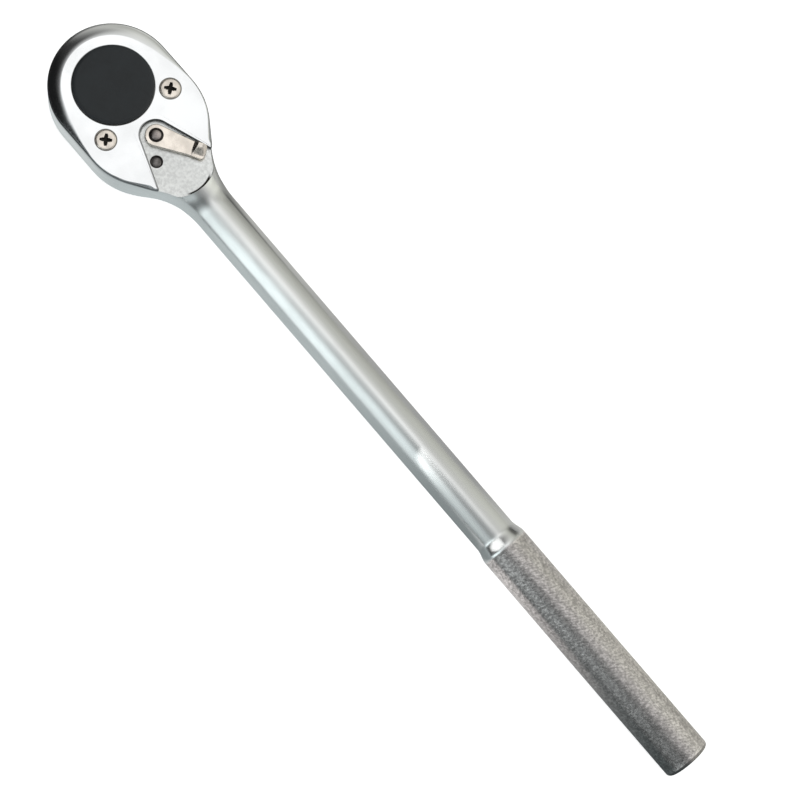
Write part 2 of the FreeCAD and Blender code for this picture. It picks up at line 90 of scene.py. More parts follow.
# Cover, its notch, screws and pins
COVER_TOP = 26.7
HUB_HOLE_R = 21.7
SEAL_BORE_R = 22.32
PIVOT_X = 34.7
NOTCH_R = 8.45
NOTCH_SPREAD = math.radians(20.5)
SCREW_AT = (20.2, 22.0)
PIN_AT = (45.3, 8.6)
EDGE_WIDTH = 0.9
NOTCH_EDGE_WIDTH = 0.3
TIP_R = 0.8
SCREW_R = 5.7
SINK_R = 5.95
SCREW_HOLE_R = 3.3
CROSS_REACH = 3.2

# Black cap
CAP_R = 21.45
CAP_RISE = 2.0
CAP_STEM_R = 7.95

# Lever
LEVER_BOTTOM = HEAD_TOP + 0.5
LEVER_THICK = 2.6
LEVER_EYE_R = 5.95
LEVER_HOLE_R = 3.76
TAB_HALF = 4.15

# Grid of the forging: half the columns round it, and how many of them lie on its milled top
HALF_COLUMNS = 72
TOP_COLUMNS = 10

# Light tent: for each lean along X, brightness at angles from overhead, in degrees, positive
# towards -Y
SKY_PEAK = 1.6
BACKDROP = 0.96
SKY_BANDS = (
    (-0.62, ((-90, 0.02), (-72, 0.08), (-60, 0.48), (-45, 0.52), (-30, 0.30), (-14, 0.04),
        (10, 0.01), (90, 0.01))),
    (-0.37, ((-90, 0.02), (-72, 0.10), (-60, 0.55), (-45, 0.76), (-30, 0.75), (-14, 0.60),
        (0, 0.15), (15, 0.01), (90, 0.01))),
    (-0.215, ((-90, 0.04), (-72, 0.12), (-60, 0.45), (-45, 0.86), (-25, 0.98), (-11, 1.25),
        (10, 1.10), (20, 0.25), (30, 0.03), (90, 0.02))),
    (-0.155, ((-90, 0.36), (-57, 0.42), (-39, 0.60), (-22, 0.98), (-8, 1.15), (0, 1.15), (11, 1.15),
        (24, 1.45), (44, 1.6), (80, 1.6), (90, 0.9))),
    (-0.05, ((-90, 0.50), (-57, 0.64), (-39, 0.60), (-22, 0.72), (-5, 1.15), (11, 0.82), (22, 0.68),
        (44, 1.5), (61, 1.6), (79, 1.5), (90, 0.7))),
    (0.04, ((-90, 0.40), (-57, 0.44), (-39, 0.44), (-22, 0.56), (-5, 1.2), (10, 0.42), (26, 0.02),
        (44, 0.40), (61, 0.56), (79, 0.20), (90, 0.10))),
    (0.12, ((-90, 0.90), (-57, 1.15), (-39, 1.10), (-22, 0.80), (-5, 0.45), (11, 0.22), (27, 0.12),
        (50, 0.07), (90, 0.04))),
    (0.24, ((-90, 0.60), (-57, 0.75), (-39, 0.75), (-22, 0.55), (-5, 0.35), (11, 0.20), (24, 0.10),
        (36, 0.06), (48, 0.05), (90, 0.05))),
    (0.34, ((-90, 0.90), (-57, 1.15), (-39, 1.10), (-22, 0.80), (-5, 0.50), (11, 0.40), (24, 0.40),
        (36, 0.6), (48, 0.9), (90, 0.8))),
    (0.60, ((-90, 0.60), (-22, 0.60), (11, 0.25), (36, 0.20), (90, 0.15))),
)

# Floor as metal sees it, on the -Y and the +Y side: place along X, brightness and warmth
FLOOR_TONES = (
    ((0.05, 0.62, -1), (0.18, 0.58, -1), (0.27, 0.34, -1.2), (0.31, 0.28, -1.2), (0.33, 0.95, 0),
     (0.37, 0.6, 0), (0.42, 0.25, -1), (0.46, 0.12, -2)),
    ((0.05, 0.10, 0.5), (0.07, 0.25, 0.5), (0.09, 0.50, 0.5), (0.14, 0.52, 0.3), (0.28, 0.38, 0),
     (0.32, 0.65, 0.5), (0.40, 0.75, 1), (0.46, 0.6, 1)),
)

NECK_RISE = SHANK_R + NECK_R - HEAD_R + SHOULDER_R
NECK_RUN = math.sqrt((SHOULDER_R + NECK_R) ** 2 + NECK_STRAIGHT**2 - NECK_RISE**2)
NECK_END = FLANK + NECK_RUN
NECK_TURN = math.pi / 2 - math.atan2(NECK_RISE, NECK_RUN)
NECK_TURN -= math.acos((SHOULDER_R + NECK_R) / math.hypot(NECK_RUN, NECK_RISE))
MILL_END = NECK_END - MILL_END_BACK


def smooth(low, high, value):
    """0 below low, 1 above high, and the cubic 3t^2 - 2t^3 between them."""
    t = np.clip((value - low) / (high - low), 0, 1)
    return t * t * (3 - 2 * t)


def head_half_width(x):
    """Half width of the head's outline: round front, level flank, circle outwards, straight line,
    circle inwards."""
    x = np.asarray(x, float)
    shoulder_end = FLANK + SHOULDER_R * math.sin(NECK_TURN)
    neck_start = NECK_END - NECK_R * math.sin(NECK_TURN)
    front = np.sqrt(np.clip(HEAD_R**2 - np.minimum(x, 0) ** 2, 0, None))
    shoulder = HEAD_R - SHOULDER_R + np.sqrt(np.clip(SHOULDER_R**2 - (x - FLANK) ** 2, 0, None))
    y_out = HEAD_R - SHOULDER_R + SHOULDER_R * math.cos(NECK_TURN)
    y_in = SHANK_R + NECK_R - NECK_R * math.cos(NECK_TURN)
    straight = y_out + (y_in - y_out) * (x - shoulder_end) / (neck_start - shoulder_end)
    neck = SHANK_R + NECK_R - np.sqrt(np.clip(NECK_R**2 - (NECK_END - x) ** 2, 0, None))
    return np.select([x < 0, x < FLANK, x < shoulder_end, x < neck_start, x < NECK_END],
                     [front, HEAD_R + 0 * x, shoulder, straight, neck], SHANK_R)


def round_limit(x):
    """Radius about the handle axis that the neck keeps inside: a circle that runs into the shank."""
    back = np.clip(NECK_END - np.asarray(x, float), 0, NECK_ROUND_R * 0.999)
    return SHANK_R + NECK_ROUND_R - np.sqrt(NECK_ROUND_R**2 - back**2)


def section_reach(angle, x):
    """Distance from the handle axis at an angle from straight up: the wall, the floor and the round
    limit joined by a power mean, which rounds the corners between them."""
    wall = head_half_width(x) * (1 + 0.25 * smooth(MILL_END - 1.5, NECK_END, x))
    depth = AXIS_Z - HEAD_FLOOR
    p = CORNER_POWER
    side, under = np.sin(angle).clip(0, 1), (-np.cos(angle)).clip(0, 1)
    total = (side / wall) ** p + (under / depth) ** p + round_limit(x) ** -p
    return total ** (-1 / p)


def crease_angle(x):
    """Angle at which the section crosses the milled plane, by halving the interval."""
    low = np.full_like(x, 0.3)
    high = np.full_like(x, 1.55)
    for _ in range(30):
        middle = (low + high) / 2
        above = section_reach(middle, x) * np.cos(middle) > HEAD_TOP - AXIS_Z
        low = np.where(above, middle, low)
        high = np.where(above, high, middle)
    return low


def mill_bulge(y):
    """How far the end of the milled floor draws back at y from its middle: a circle, kept under a
    limit so that no station of the wall passes the one before it."""
    return np.minimum(MILL_R - np.sqrt(np.clip(MILL_R**2 - y**2, 1.0, None)), MILL_BULGE_LIMIT)


def forging_sections(u):
    """Half sections of head, neck and shank at stations u: across the milled top, down the wall,
    and under to the middle. The top and the wall meet where the section crosses the milled plane."""
    m, k = TOP_COLUMNS, HALF_COLUMNS
    bend = smooth(50, 70, u) * (1 - smooth(73, 90, u))
    milled = 1 - smooth(MILL_END - 0.25, MILL_END + 0.2, u)
    x_side = u.copy()
    last = crease_angle(np.array([MILL_END - 3.0]))[0]
    for _ in range(8):
        angle = np.where(u < MILL_END + 0.2, crease_angle(np.minimum(x_side, MILL_END)), last)
        crease_y = section_reach(angle, x_side) * np.sin(angle)
        x_side = u - bend * mill_bulge(crease_y)
    across = np.arange(m + 1) / m
    y_top = (crease_y - TOP_EDGE * milled)[:, None] * across
    x_top = u[:, None] - bend[:, None] * mill_bulge(y_top)
    limit = np.minimum(round_limit(x_top), 60)
    z_round = AXIS_Z + np.sqrt(np.clip(limit**2 - y_top**2, 1.0, None))
    past_mill = np.where(u[:, None] > MILL_END - 1, z_round, HEAD_TOP)
    z_top = HEAD_TOP * milled[:, None] + past_mill * (1 - milled[:, None])
    corner = math.pi - np.arctan(head_half_width(x_side) / (AXIS_Z - HEAD_FLOOR))
    width = np.arctan(3.4 / section_reach(corner, x_side))
    start = angle + 0.012 * milled + 0.003
    n = k - m
    t = np.linspace(0, 1, n + 1)[1:]
    stops = np.array([0, 0.27, 0.68, 1.0])
    marks = np.stack([start, corner - width, corner + width, np.full_like(u, math.pi)])
    lower = np.searchsorted(stops[1:-1], t)
    share = (t - stops[lower]) / (stops[lower + 1] - stops[lower])
    phi = marks[lower].T + (marks[lower + 1] - marks[lower]).T * share
    even = smooth(NECK_END - 8, NECK_END + 14, u)[:, None]
    phi = phi * (1 - even) + np.pi * (np.arange(m + 1, k + 1) / k) * even
    x_low = np.repeat(x_side[:, None], n, 1)
    reach = section_reach(phi, x_low)
    y_low, z_low = reach * np.sin(phi), AXIS_Z + reach * np.cos(phi)
    phi_top = np.arctan2(y_top, z_top - AXIS_Z)
    reach_top = np.hypot(y_top, z_top - AXIS_Z)
    phi_top = phi_top * (1 - even) + np.pi * (np.arange(m + 1) / k) * even
    x_all = np.concatenate([x_top, x_low], 1)
    y_all = np.concatenate([reach_top * np.sin(phi_top), y_low], 1)
    z_all = np.concatenate([AXIS_Z + reach_top * np.cos(phi_top), z_low], 1)
    return x_all, y_all, z_all


def bar_radius(x):
    """Radius of shank, flare and grip: a cubic step at the flare and a quarter circle at the end."""
    body = SHANK_R + (GRIP_R - SHANK_R) * smooth(FLARE_START, GRIP_START, x)
    into = np.clip(x - (GRIP_END - GRIP_EDGE), 0, GRIP_EDGE)
    return body - GRIP_EDGE + np.sqrt(GRIP_EDGE**2 - into**2)


def handle_points(pitch, depth):
    """Whole forging as one grid. The front is the section at x = 0 fanned about the drive axis; the
    rest is carried along the handle. On the grip every other point is sunk, which makes the knurl's
    diamonds."""
    k = HALF_COLUMNS
    fan = np.linspace(math.pi, math.pi / 2, 27)[:-1]
    x0, s0, z0 = forging_sections(np.zeros(1))
    turn = fan[:, None]
    front = np.stack([s0 * np.cos(turn), s0 * np.sin(turn), np.repeat(z0, len(fan), 0)], 2)
    near_mill = [-1.2, -0.6, -0.25, -0.16, -0.08, -0.01, 0.06, 0.13, 0.2, 0.5, 1.0]
    stations = np.unique(np.concatenate([
        np.linspace(0, FLANK, 7), np.linspace(FLANK, MILL_END - 2, 44), MILL_END + np.array(near_mill),
        np.linspace(MILL_END + 2, NECK_END + 14, 26)]))
    x1, y1, z1 = forging_sections(stations)
    head = np.stack([x1, y1, z1], 2)
    knurl_x = np.arange(GRIP_START + 0.8, GRIP_END - GRIP_EDGE - 0.2, pitch / 2)
    end_round = GRIP_END - GRIP_EDGE * (1 - np.sin(np.linspace(0, math.pi / 2, 8)))
    bar_x = np.concatenate([
        np.linspace(NECK_END + 14, FLARE_START - 1, 22)[1:], np.linspace(FLARE_START, GRIP_START, 13),
        [GRIP_START + 0.3], knurl_x, end_round])
    column = np.arange(k + 1)
    uneven = np.random.default_rng(KNURL_SEED).uniform(*KNURL_SPREAD, (len(bar_x), k + 1))
    low = (np.arange(len(bar_x))[:, None] + column) % 2
    sunk = (CREST_WEAR + low) / (1 + CREST_WEAR) * depth * uneven
    knurled = smooth(GRIP_START + 0.3, GRIP_START + 1.2, bar_x)
    knurled *= 1 - smooth(GRIP_END - 4.0, GRIP_END - 2.4, bar_x)
    end_r = (GRIP_R - GRIP_EDGE) * np.array([0.8, 0.4, 0.0])
    radius = np.concatenate([bar_radius(bar_x)[:, None] - sunk * knurled[:, None],
                             np.repeat(end_r[:, None], k + 1, 1)])
    phi = np.pi * column / k
    along = np.repeat(np.append(bar_x, [GRIP_END] * len(end_r))[:, None], k + 1, 1)
    bar = np.stack([along, radius * np.sin(phi), AXIS_Z + radius * np.cos(phi)], 2)
    half = np.concatenate([front, head, bar], 0)
    other = half[:, -2:0:-1] * np.array([1, -1, 1])
    return np.concatenate([half, other], 1)


def grid_faces(rows, columns, wrap_rows, wrap_columns):
    """Corner numbers of the quads of a grid, as one array."""
    i = np.arange(rows if wrap_rows else rows - 1)
    j = np.arange(columns if wrap_columns else columns - 1)
    i, j = np.meshgrid(i, j, indexing="ij")
    i2, j2 = (i + 1) % rows, (j + 1) % columns
    corners = [i * columns + j, i * columns + j2, i2 * columns + j2, i2 * columns + j]
    return np.stack(corners, -1).reshape(-1, 4)


def linked(name, data):
    """New object at the origin, put in the scene."""
    made = bpy.data.objects.new(name, data)
    bpy.context.scene.collection.objects.link(made)
    return made


def mesh_from_grids(name, grids, sharp=30.0, marks=None):
    """Object made of grids in millimetres, each (points, wrap_rows, wrap_columns), with its doubles
    merged. Marks is one number a point, kept as the attribute called edge."""
    points, quads, first = [], [], 0
    for grid, wrap_rows, wrap_columns in grids:
        rows, columns = grid.shape[:2]
        points.append(grid.reshape(-1, 3))
        quads.append(grid_faces(rows, columns, wrap_rows, wrap_columns) + first)
        first += rows * columns
    points = np.concatenate(points) * MM
    quads = np.concatenate(quads)
    mesh = bpy.data.meshes.new(name)
    mesh.vertices.add(len(points))
    mesh.vertices.foreach_set("co", points.astype(np.float32).ravel())
    mesh.loops.add(quads.size)
    mesh.loops.foreach_set("vertex_index", quads.astype(np.int32).ravel())
    mesh.polygons.add(len(quads))
    mesh.polygons.foreach_set("loop_start", np.arange(0, quads.size, 4, dtype=np.int32))
    mesh.update(calc_edges=True)
    if marks is not None:
        edge = mesh.attributes.new("edge", "FLOAT", "POINT")
        edge.data.foreach_set("value", marks.astype(np.float32).ravel())
    mesh.validate()
    work = bmesh.new()
    work.from_mesh(mesh)
    bmesh.ops.remove_doubles(work, verts=work.verts, dist=2e-6)
    bmesh.ops.dissolve_degenerate(work, edges=work.edges, dist=1e-7)
    bmesh.ops.recalc_face_normals(work, faces=work.faces)
    finish_mesh(work, mesh, sharp)
    return linked(name, mesh)


def finish_mesh(work, mesh, sharp):
    """Puts the work back into the mesh and marks the edges sharper than the angle, in degrees."""
    work.to_mesh(mesh)
    work.free()
    mesh.shade_smooth()
    mesh.set_sharp_from_angle(angle=math.radians(sharp))


def subtract(piece, tools, sharp=30.0):
    """Cuts the tools out of the piece, removes them, and closes the slivers that the cut leaves."""
    for tool in tools:
        cut = piece.modifiers.new("cut", "BOOLEAN")
        cut.operation = "DIFFERENCE"
        cut.solver = "EXACT"
        cut.object = tool
    graph = bpy.context.evaluated_depsgraph_get()
    mesh = bpy.data.meshes.new_from_object(piece.evaluated_get(graph), depsgraph=graph)
    piece.modifiers.clear()
    old = piece.data
    piece.data = mesh
    mesh.name = piece.name
    bpy.data.meshes.remove(old)
    for tool in tools:
        used = tool.data
        bpy.data.objects.remove(tool)
        bpy.data.meshes.remove(used)
    work = bmesh.new()
    work.from_mesh(mesh)
    bmesh.ops.remove_doubles(work, verts=work.verts, dist=4e-6)
    bmesh.ops.dissolve_degenerate(work, edges=work.edges, dist=2e-6)
    bmesh.ops.triangulate(work, faces=[f for f in work.faces if len(f.verts) > 4])
    bmesh.ops.dissolve_degenerate(work, edges=work.edges, dist=2e-6)
    finish_mesh(work, mesh, sharp)


def turned(profile, centre=(0.0, 0.0), columns=96):
    """Grid of a profile of (radius, z) turned about an upright axis."""
    profile = np.asarray(profile, float)
    angle = np.linspace(0, 2 * np.pi, columns, endpoint=False)
    x = centre[0] + profile[:, :1] * np.cos(angle)
    y = centre[1] + profile[:, :1] * np.sin(angle)
    z = np.repeat(profile[:, 1:], columns, 1)
    return np.stack([x, y, z], 2)


def domed_end(r, base, rise):
    """Profile of a riveted end: an ellipse of radius r that rises above a flat shaft end at base."""
    t = np.linspace(0, math.pi / 2, 9)
    dome = np.stack([r * np.sin(t), base + rise * np.cos(t)], 1)
    return np.concatenate([dome, [[r, base - 0.05], [0.0, base - 0.05]]])


def cavity_tool():
    """Closed tool in the shape of the bores and pockets inside the CAD forging: the faces that lie a
    margin inside its outline, with their open mouths carried up and down past its faces."""
    work = bmesh.new()
    work.from_mesh(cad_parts["handle"].data)
    bmesh.ops.remove_doubles(work, verts=work.verts, dist=1e-6)
    bmesh.ops.triangulate(work, faces=work.faces)
    mesh = bpy.data.meshes.new("cavities")
    work.to_mesh(mesh)
    work.free()
    co = np.empty(len(mesh.vertices) * 3)
    mesh.vertices.foreach_get("co", co)
    co = co.reshape(-1, 3) / MM
    corners = np.empty(len(mesh.loops), np.int32)
    mesh.loops.foreach_get("vertex_index", corners)
    faces = corners.reshape(-1, 3)
    margin = 1.5
    radial = np.hypot(co[:, 0], co[:, 1])
    level = 0.01
    mouth_rise = 3
    inside = np.where(co[:, 0] < 0, radial < HEAD_R - margin,
                      abs(co[:, 1]) < head_half_width(co[:, 0]) - margin)
    inside &= co[:, 0] < NECK_END - 24
    keep = inside[faces].all(1)
    keep &= ~(co[:, 2][faces] > HEAD_TOP - level).all(1)
    keep &= ~(co[:, 2][faces] < HEAD_FLOOR + level).all(1)
    bpy.data.meshes.remove(mesh)
    mesh = bpy.data.meshes.new("cavities")
    mesh.from_pydata((co * MM).tolist(), [], faces[keep].tolist())
    work = bmesh.new()
    work.from_mesh(mesh)
    bmesh.ops.delete(work, geom=[v for v in work.verts if not v.link_faces], context="VERTS")
    rims = [e for e in work.edges if e.is_boundary]
    made = bmesh.ops.extrude_edge_only(work, edges=rims)["geom"]
    moved = [g for g in made if isinstance(g, bmesh.types.BMVert)]
    for vert in moved:
        vert.co.z += (mouth_rise if vert.co.z > AXIS_Z * MM else -mouth_rise) * MM
    bmesh.ops.holes_fill(work, edges=[e for e in work.edges if e.is_boundary], sides=0)
    bmesh.ops.recalc_face_normals(work, faces=work.faces)
    work.to_mesh(mesh)
    work.free()
    return linked("cavities", mesh)


def notch_edge(x):
    """y of the notch's straight edge at x."""
    return NOTCH_R / math.cos(NOTCH_SPREAD) + (x - PIVOT_X) * math.tan(NOTCH_SPREAD)


def cover_outer(x):
    """Half width of the cover's lower edge: the head's outline inside the neck's round limit."""
    return np.minimum(head_half_width(x), np.sqrt(round_limit(x) ** 2 - (HEAD_TOP - AXIS_Z) ** 2))


def cover_contour(shoulder_width):
    """Closed plan of the cover with the width of its rounded shoulder at each point: round front,
    flank, tip, notch edge and notch apex of one side, then the other side as its mirror image."""
    fan = np.linspace(math.pi, math.pi / 2, 49)[:-1]
    front = np.stack([HEAD_R * np.cos(fan), HEAD_R * np.sin(fan)], 1)
    low, high = 45.0, 70.0
    for _ in range(40):
        middle = (low + high) / 2
        wider = cover_outer(np.array([middle]))[0] > notch_edge(middle)
        low, high = (middle, high) if wider else (low, middle)
    tip = np.array([low, notch_edge(low)])
    slope = cover_outer(np.array([low]))[0] - cover_outer(np.array([low - 0.5]))[0]
    back = -np.array([0.5, slope]) / math.hypot(0.5, slope)
    inner = -np.array([math.cos(NOTCH_SPREAD), math.sin(NOTCH_SPREAD)])
    half = math.acos(float(back @ inner)) / 2
    run = TIP_R / math.tan(half)
    centre = tip + (back + inner) / np.linalg.norm(back + inner) * TIP_R / math.sin(half)
    a0 = math.atan2(*(tip + back * run - centre)[::-1])
    a1 = math.atan2(*(tip + inner * run - centre)[::-1])
    turn = np.linspace(a0, a1, 10)
    tip_arc = centre + TIP_R * np.stack([np.cos(turn), np.sin(turn)], 1)
    flank_x = np.append(np.linspace(0, FLANK, 22)[:-1], np.linspace(FLANK, tip_arc[0, 0], 36)[:-1])
    flank = np.stack([flank_x, cover_outer(flank_x)], 1)
    side = math.pi / 2 + NOTCH_SPREAD
    apex_turn = np.linspace(side, math.pi, 22)
    apex = NOTCH_R * np.stack([np.cos(apex_turn), np.sin(apex_turn)], 1) + [PIVOT_X, 0]
    edge = tip_arc[-1] + (apex[0] - tip_arc[-1]) * np.linspace(0, 1, 26)[1:-1, None]
    pts = np.concatenate([front, flank, tip_arc, edge, apex])
    x = pts[:, 0]
    first = len(front) + len(flank)
    wide = EDGE_WIDTH + (shoulder_width - EDGE_WIDTH) * (1 - smooth(-14, 23, x)) + smooth(44, 57, x)
    wide = np.where(np.arange(len(pts)) < first, wide, NOTCH_EDGE_WIDTH)
    from_tip = np.hypot(*(pts - tip).T)
    wide = np.minimum(wide, 0.5 + 0.33 * np.clip(from_tip - 1.5, 0, None))
    wide[first:first + 10] = np.linspace(wide[first - 1], NOTCH_EDGE_WIDTH, 10)
    other, other_wide = pts[-2:0:-1] * np.array([1, -1]), wide[-2:0:-1]
    return np.concatenate([pts, other]), np.concatenate([wide, other_wide])


def cover_points(shoulder_width, shoulder_drop):
    """The cover as its section carried round its plan, and how much painted shade its outline gets at
    each point: a painted dark shadow line up the outer wall and round the quarter ellipse, fading over
    the shoulder beside the neck. The section goes up the outer wall, over a quarter ellipse and a
    shoulder that steepens outwards, across the flat, and down the hub's hole."""
    plan, wide = cover_contour(shoulder_width)
    along = np.roll(plan, -1, 0) - np.roll(plan, 1, 0)
    along /= np.linalg.norm(along, axis=1)[:, None]
    inward = np.stack([-along[:, 1], along[:, 0]], 1)
    toward = -plan / np.linalg.norm(plan, axis=1)[:, None]
    inward *= np.sign((inward * toward).sum(1).mean())
    edge = np.minimum(0.8, 0.7 * wide)
    fall = np.minimum(0.75, 0.85 * wide)
    share = np.clip(wide - EDGE_WIDTH, 0, None) / (shoulder_width - EDGE_WIDTH)
    rest = 0.04 + (shoulder_drop - 0.79) * share
    beside_neck = smooth(36, 46, plan[:, 0]) * (wide > NOTCH_EDGE_WIDTH + 0.05)
    rest = rest + 0.55 * beside_neck * np.clip(wide - 0.5, 0, 1)
    level = np.ones(len(plan))
    rings = [(plan + inset * inward, (HEAD_TOP + rise) * level)
             for inset, rise in ((0.3, 0.02), (0.08, 0.1), (0.0, 0.32))]
    # Marks are painted shade: full up the wall, then fading round the quarter ellipse and over the shoulder beside the
    # neck.
    marks = [level for _ in rings]
    for a, dark in zip(np.linspace(0, math.pi / 2, 6)[:-1], (1, 1, 1, 0.9, 0.6)):
        inset = edge * (1 - math.cos(a))
        rings.append((plan + inward * inset[:, None], COVER_TOP - rest - fall * (1 - math.sin(a))))
        marks.append(dark * level)
    for q in np.linspace(1, 0, 9):
        inset = wide - (wide - edge) * q
        rings.append((plan + inward * inset[:, None], COVER_TOP - rest * (0.3 * q + 0.7 * q * q)))
        marks.append(0.55 * beside_neck * smooth(0.1, 0.7, q))
    rings.append((plan + inward * (wide + 0.2)[:, None], COVER_TOP * level))
    azimuth = np.arctan2(plan[:, 1], plan[:, 0])
    ray = np.stack([np.cos(azimuth), np.sin(azimuth)], 1)
    hole = [(HUB_HOLE_R + out, COVER_TOP - down)
            for out, down in ((0.6, 0), (0.3, 0), (0.08, 0.08), (0, 0.25), (0, 0.5))]
    for r, z in hole + [(SEAL_BORE_R, COVER_TOP - 0.5), (SEAL_BORE_R, HEAD_TOP + 0.02)]:
        rings.append((ray * r, z * level))
    marks += [0 * level] * (len(rings) - len(marks))
    return np.stack([np.concatenate([p, z[:, None]], 1) for p, z in rings]), np.stack(marks)


def clear_marks(mesh):
    """Sets the outline's painted shade back to 0 near each screw's axis, where the cut carries it in."""
    near = 8.0
    co = np.empty(len(mesh.vertices) * 3, np.float32)
    mesh.vertices.foreach_get("co", co)
    co = co.reshape(-1, 3) / MM
    marks = np.empty(len(co), np.float32)
    mesh.attributes["edge"].data.foreach_get("value", marks)
    marks[np.hypot(co[:, 0] - SCREW_AT[0], abs(co[:, 1]) - SCREW_AT[1]) < near] = 0.0
    mesh.attributes["edge"].data.foreach_set("value", marks)


def screw_points(centre, turn):
    """Top of a cross-recess screw and its cone. A square grid is mapped onto the disc by
    x = u sqrt(1 - v^2 / 2), y = v sqrt(1 - u^2 / 2), raised to a dome, and sunk where the cross lies."""
    r, reach = SCREW_R, CROSS_REACH
    lines = np.array([0, 0.28, 0.52, 0.66, 0.74, 0.84, 1.1, 1.6, 2.2, 2.75, 3.05, 3.2, 3.35, 3.8, 4.4,
                      4.8, 5.0, 5.2, 5.35, 5.5, 5.6, 5.7]) / r
    lines = np.concatenate([-lines[:0:-1], lines])
    u, v = np.meshgrid(lines, lines, indexing="ij")
    x, y = r * u * np.sqrt(1 - v**2 / 2), r * v * np.sqrt(1 - u**2 / 2)
    far = np.hypot(x, y)
    long_way = np.maximum(abs(u), abs(v)) * r
    short_way = np.minimum(abs(u), abs(v)) * r
    arm = 0.98 - 0.30 * long_way / reach
    cross = 1 - smooth(arm - 0.06, arm + 0.1, short_way)
    cross *= 1 - smooth(reach - 0.16, reach + 0.1, long_way)
    heart = 1 - smooth(0.9, 1.5, u * u * r * r + v * v * r * r)
    sunk = np.maximum(cross, heart) * (2.3 - 0.9 * far / reach)
    rim_drop = 0.75 * np.clip((far - 4.85) / (r - 4.85), 0, 1) ** 2
    z = COVER_TOP + 0.5 - 0.2 * (far / r) ** 2 - rim_drop - sunk
    c, s = math.cos(turn), math.sin(turn)
    top = np.stack([centre[0] + x * c - y * s, centre[1] + x * s + y * c, z], 2)
    rim = np.concatenate([top[0, :-1], top[:-1, -1], top[-1, :0:-1], top[:0:-1, 0]])
    flat = rim[:, :2] - np.array(centre)
    rings = [rim]
    for scale, down in ((0.985, 0.35), (0.55, 2.6), (0.535, 7.3), (0.0, 7.3)):
        level = np.full((len(rim), 1), COVER_TOP - down)
        rings.append(np.concatenate([np.array(centre) + flat * scale, level], 1))
    return [(top, False, False), (np.stack(rings), False, True)]


def lever_points(tab_rise):
    """Lever built along +X from its pivot. The half section, a flat with rounded edges, is fanned
    about the pivot for the eye and then carried along a line that bends up into the thumb tab and
    curls over. The tab is lifted most on its +Y side."""
    thick = LEVER_THICK
    top = LEVER_BOTTOM + thick
    eye = LEVER_EYE_R
    edge = 0.42
    a = np.linspace(0, math.pi / 2, 6)
    across = np.array([0, 0.3, 0.6, 0.85])

    def half_section(half, height):
        """Offsets outwards and up, from the middle of the top round to the middle of the underside."""
        half, height = half[:, None], height[:, None]
        e = np.minimum(edge, 0.45 * height)
        s_top = (half - e) * across
        s_edge = half - e + e * np.sin(a)
        z_edge = -e + e * np.cos(a)
        s = np.concatenate([s_top, s_edge, s_edge[:, ::-1], s_top[:, ::-1]], 1)
        z = np.concatenate([0 * s_top, z_edge, -height - z_edge[:, ::-1], -height + 0 * s_top], 1)
        return s, z

    fan = np.linspace(math.pi, math.pi / 2, 17)[:-1]
    s0, z0 = half_section(np.full(len(fan), eye), np.full(len(fan), thick))
    turn = fan[:, None]
    front = np.stack([s0 * np.cos(turn), s0 * np.sin(turn), top + z0], 2)
    length = np.concatenate([np.linspace(0, 18, 10), np.linspace(18.6, 29.6, 56)])
    bends = ((62, 19.8, 21.2), (-60, 22.2, 24.2), (-45, 25.5, 28.6))
    slope = sum(math.radians(by) * smooth(start, end, length) for by, start, end in bends)
    step = np.diff(length, prepend=0)
    x = np.cumsum(np.cos(slope) * step)
    z = top + np.cumsum(np.sin(slope) * step) * tab_rise
    taper = eye + (TAB_HALF - eye) * np.clip(length / 19, 0, 1)
    end = np.clip((length - 26.6) / 3.02, 0, 1)
    half = taper * (1 - end**2.6) ** (1 / 2.6)
    height = thick - 1.15 * smooth(17.5, 21.5, length) - 0.35 * smooth(26, 29.6, length)
    s, dz = half_section(half, height)
    upper = dz > -0.8 * height[:, None]
    dish = 0.5 * smooth(20.5, 23.5, length)[:, None]
    dz = dz - dish * (1 - (s / np.maximum(half, 0.5)[:, None]) ** 2) * upper
    lean = slope[:, None]
    body = np.stack([x[:, None] - dz * np.sin(lean), s, z[:, None] + dz * np.cos(lean)], 2)
    grid = np.concatenate([front, body])
    other = grid[:, -2:0:-1] * np.array([1, -1, 1])
    grid = np.concatenate([grid, other], 1)
    lifted = np.concatenate([np.zeros(len(front)), z - top])[:, None]
    grid[..., 2] -= lifted * (1 - smooth(-3.2, 1.6, grid[..., 1])) * 0.9
    tip = np.repeat(grid[-1:].mean(1, keepdims=True), grid.shape[1], 1)
    return np.concatenate([grid, tip])


def turned_to_rest(grid, angle):
    """A grid built about the pivot, turned by the lever's rest angle and moved to the pivot."""
    c, s = math.cos(angle), math.sin(angle)
    x = grid[..., 0] * c - grid[..., 1] * s + PIVOT_X
    y = grid[..., 0] * s + grid[..., 1] * c
    return np.stack([x, y, grid[..., 2]], -1)


# ---------------------------------------------------------------- finishes


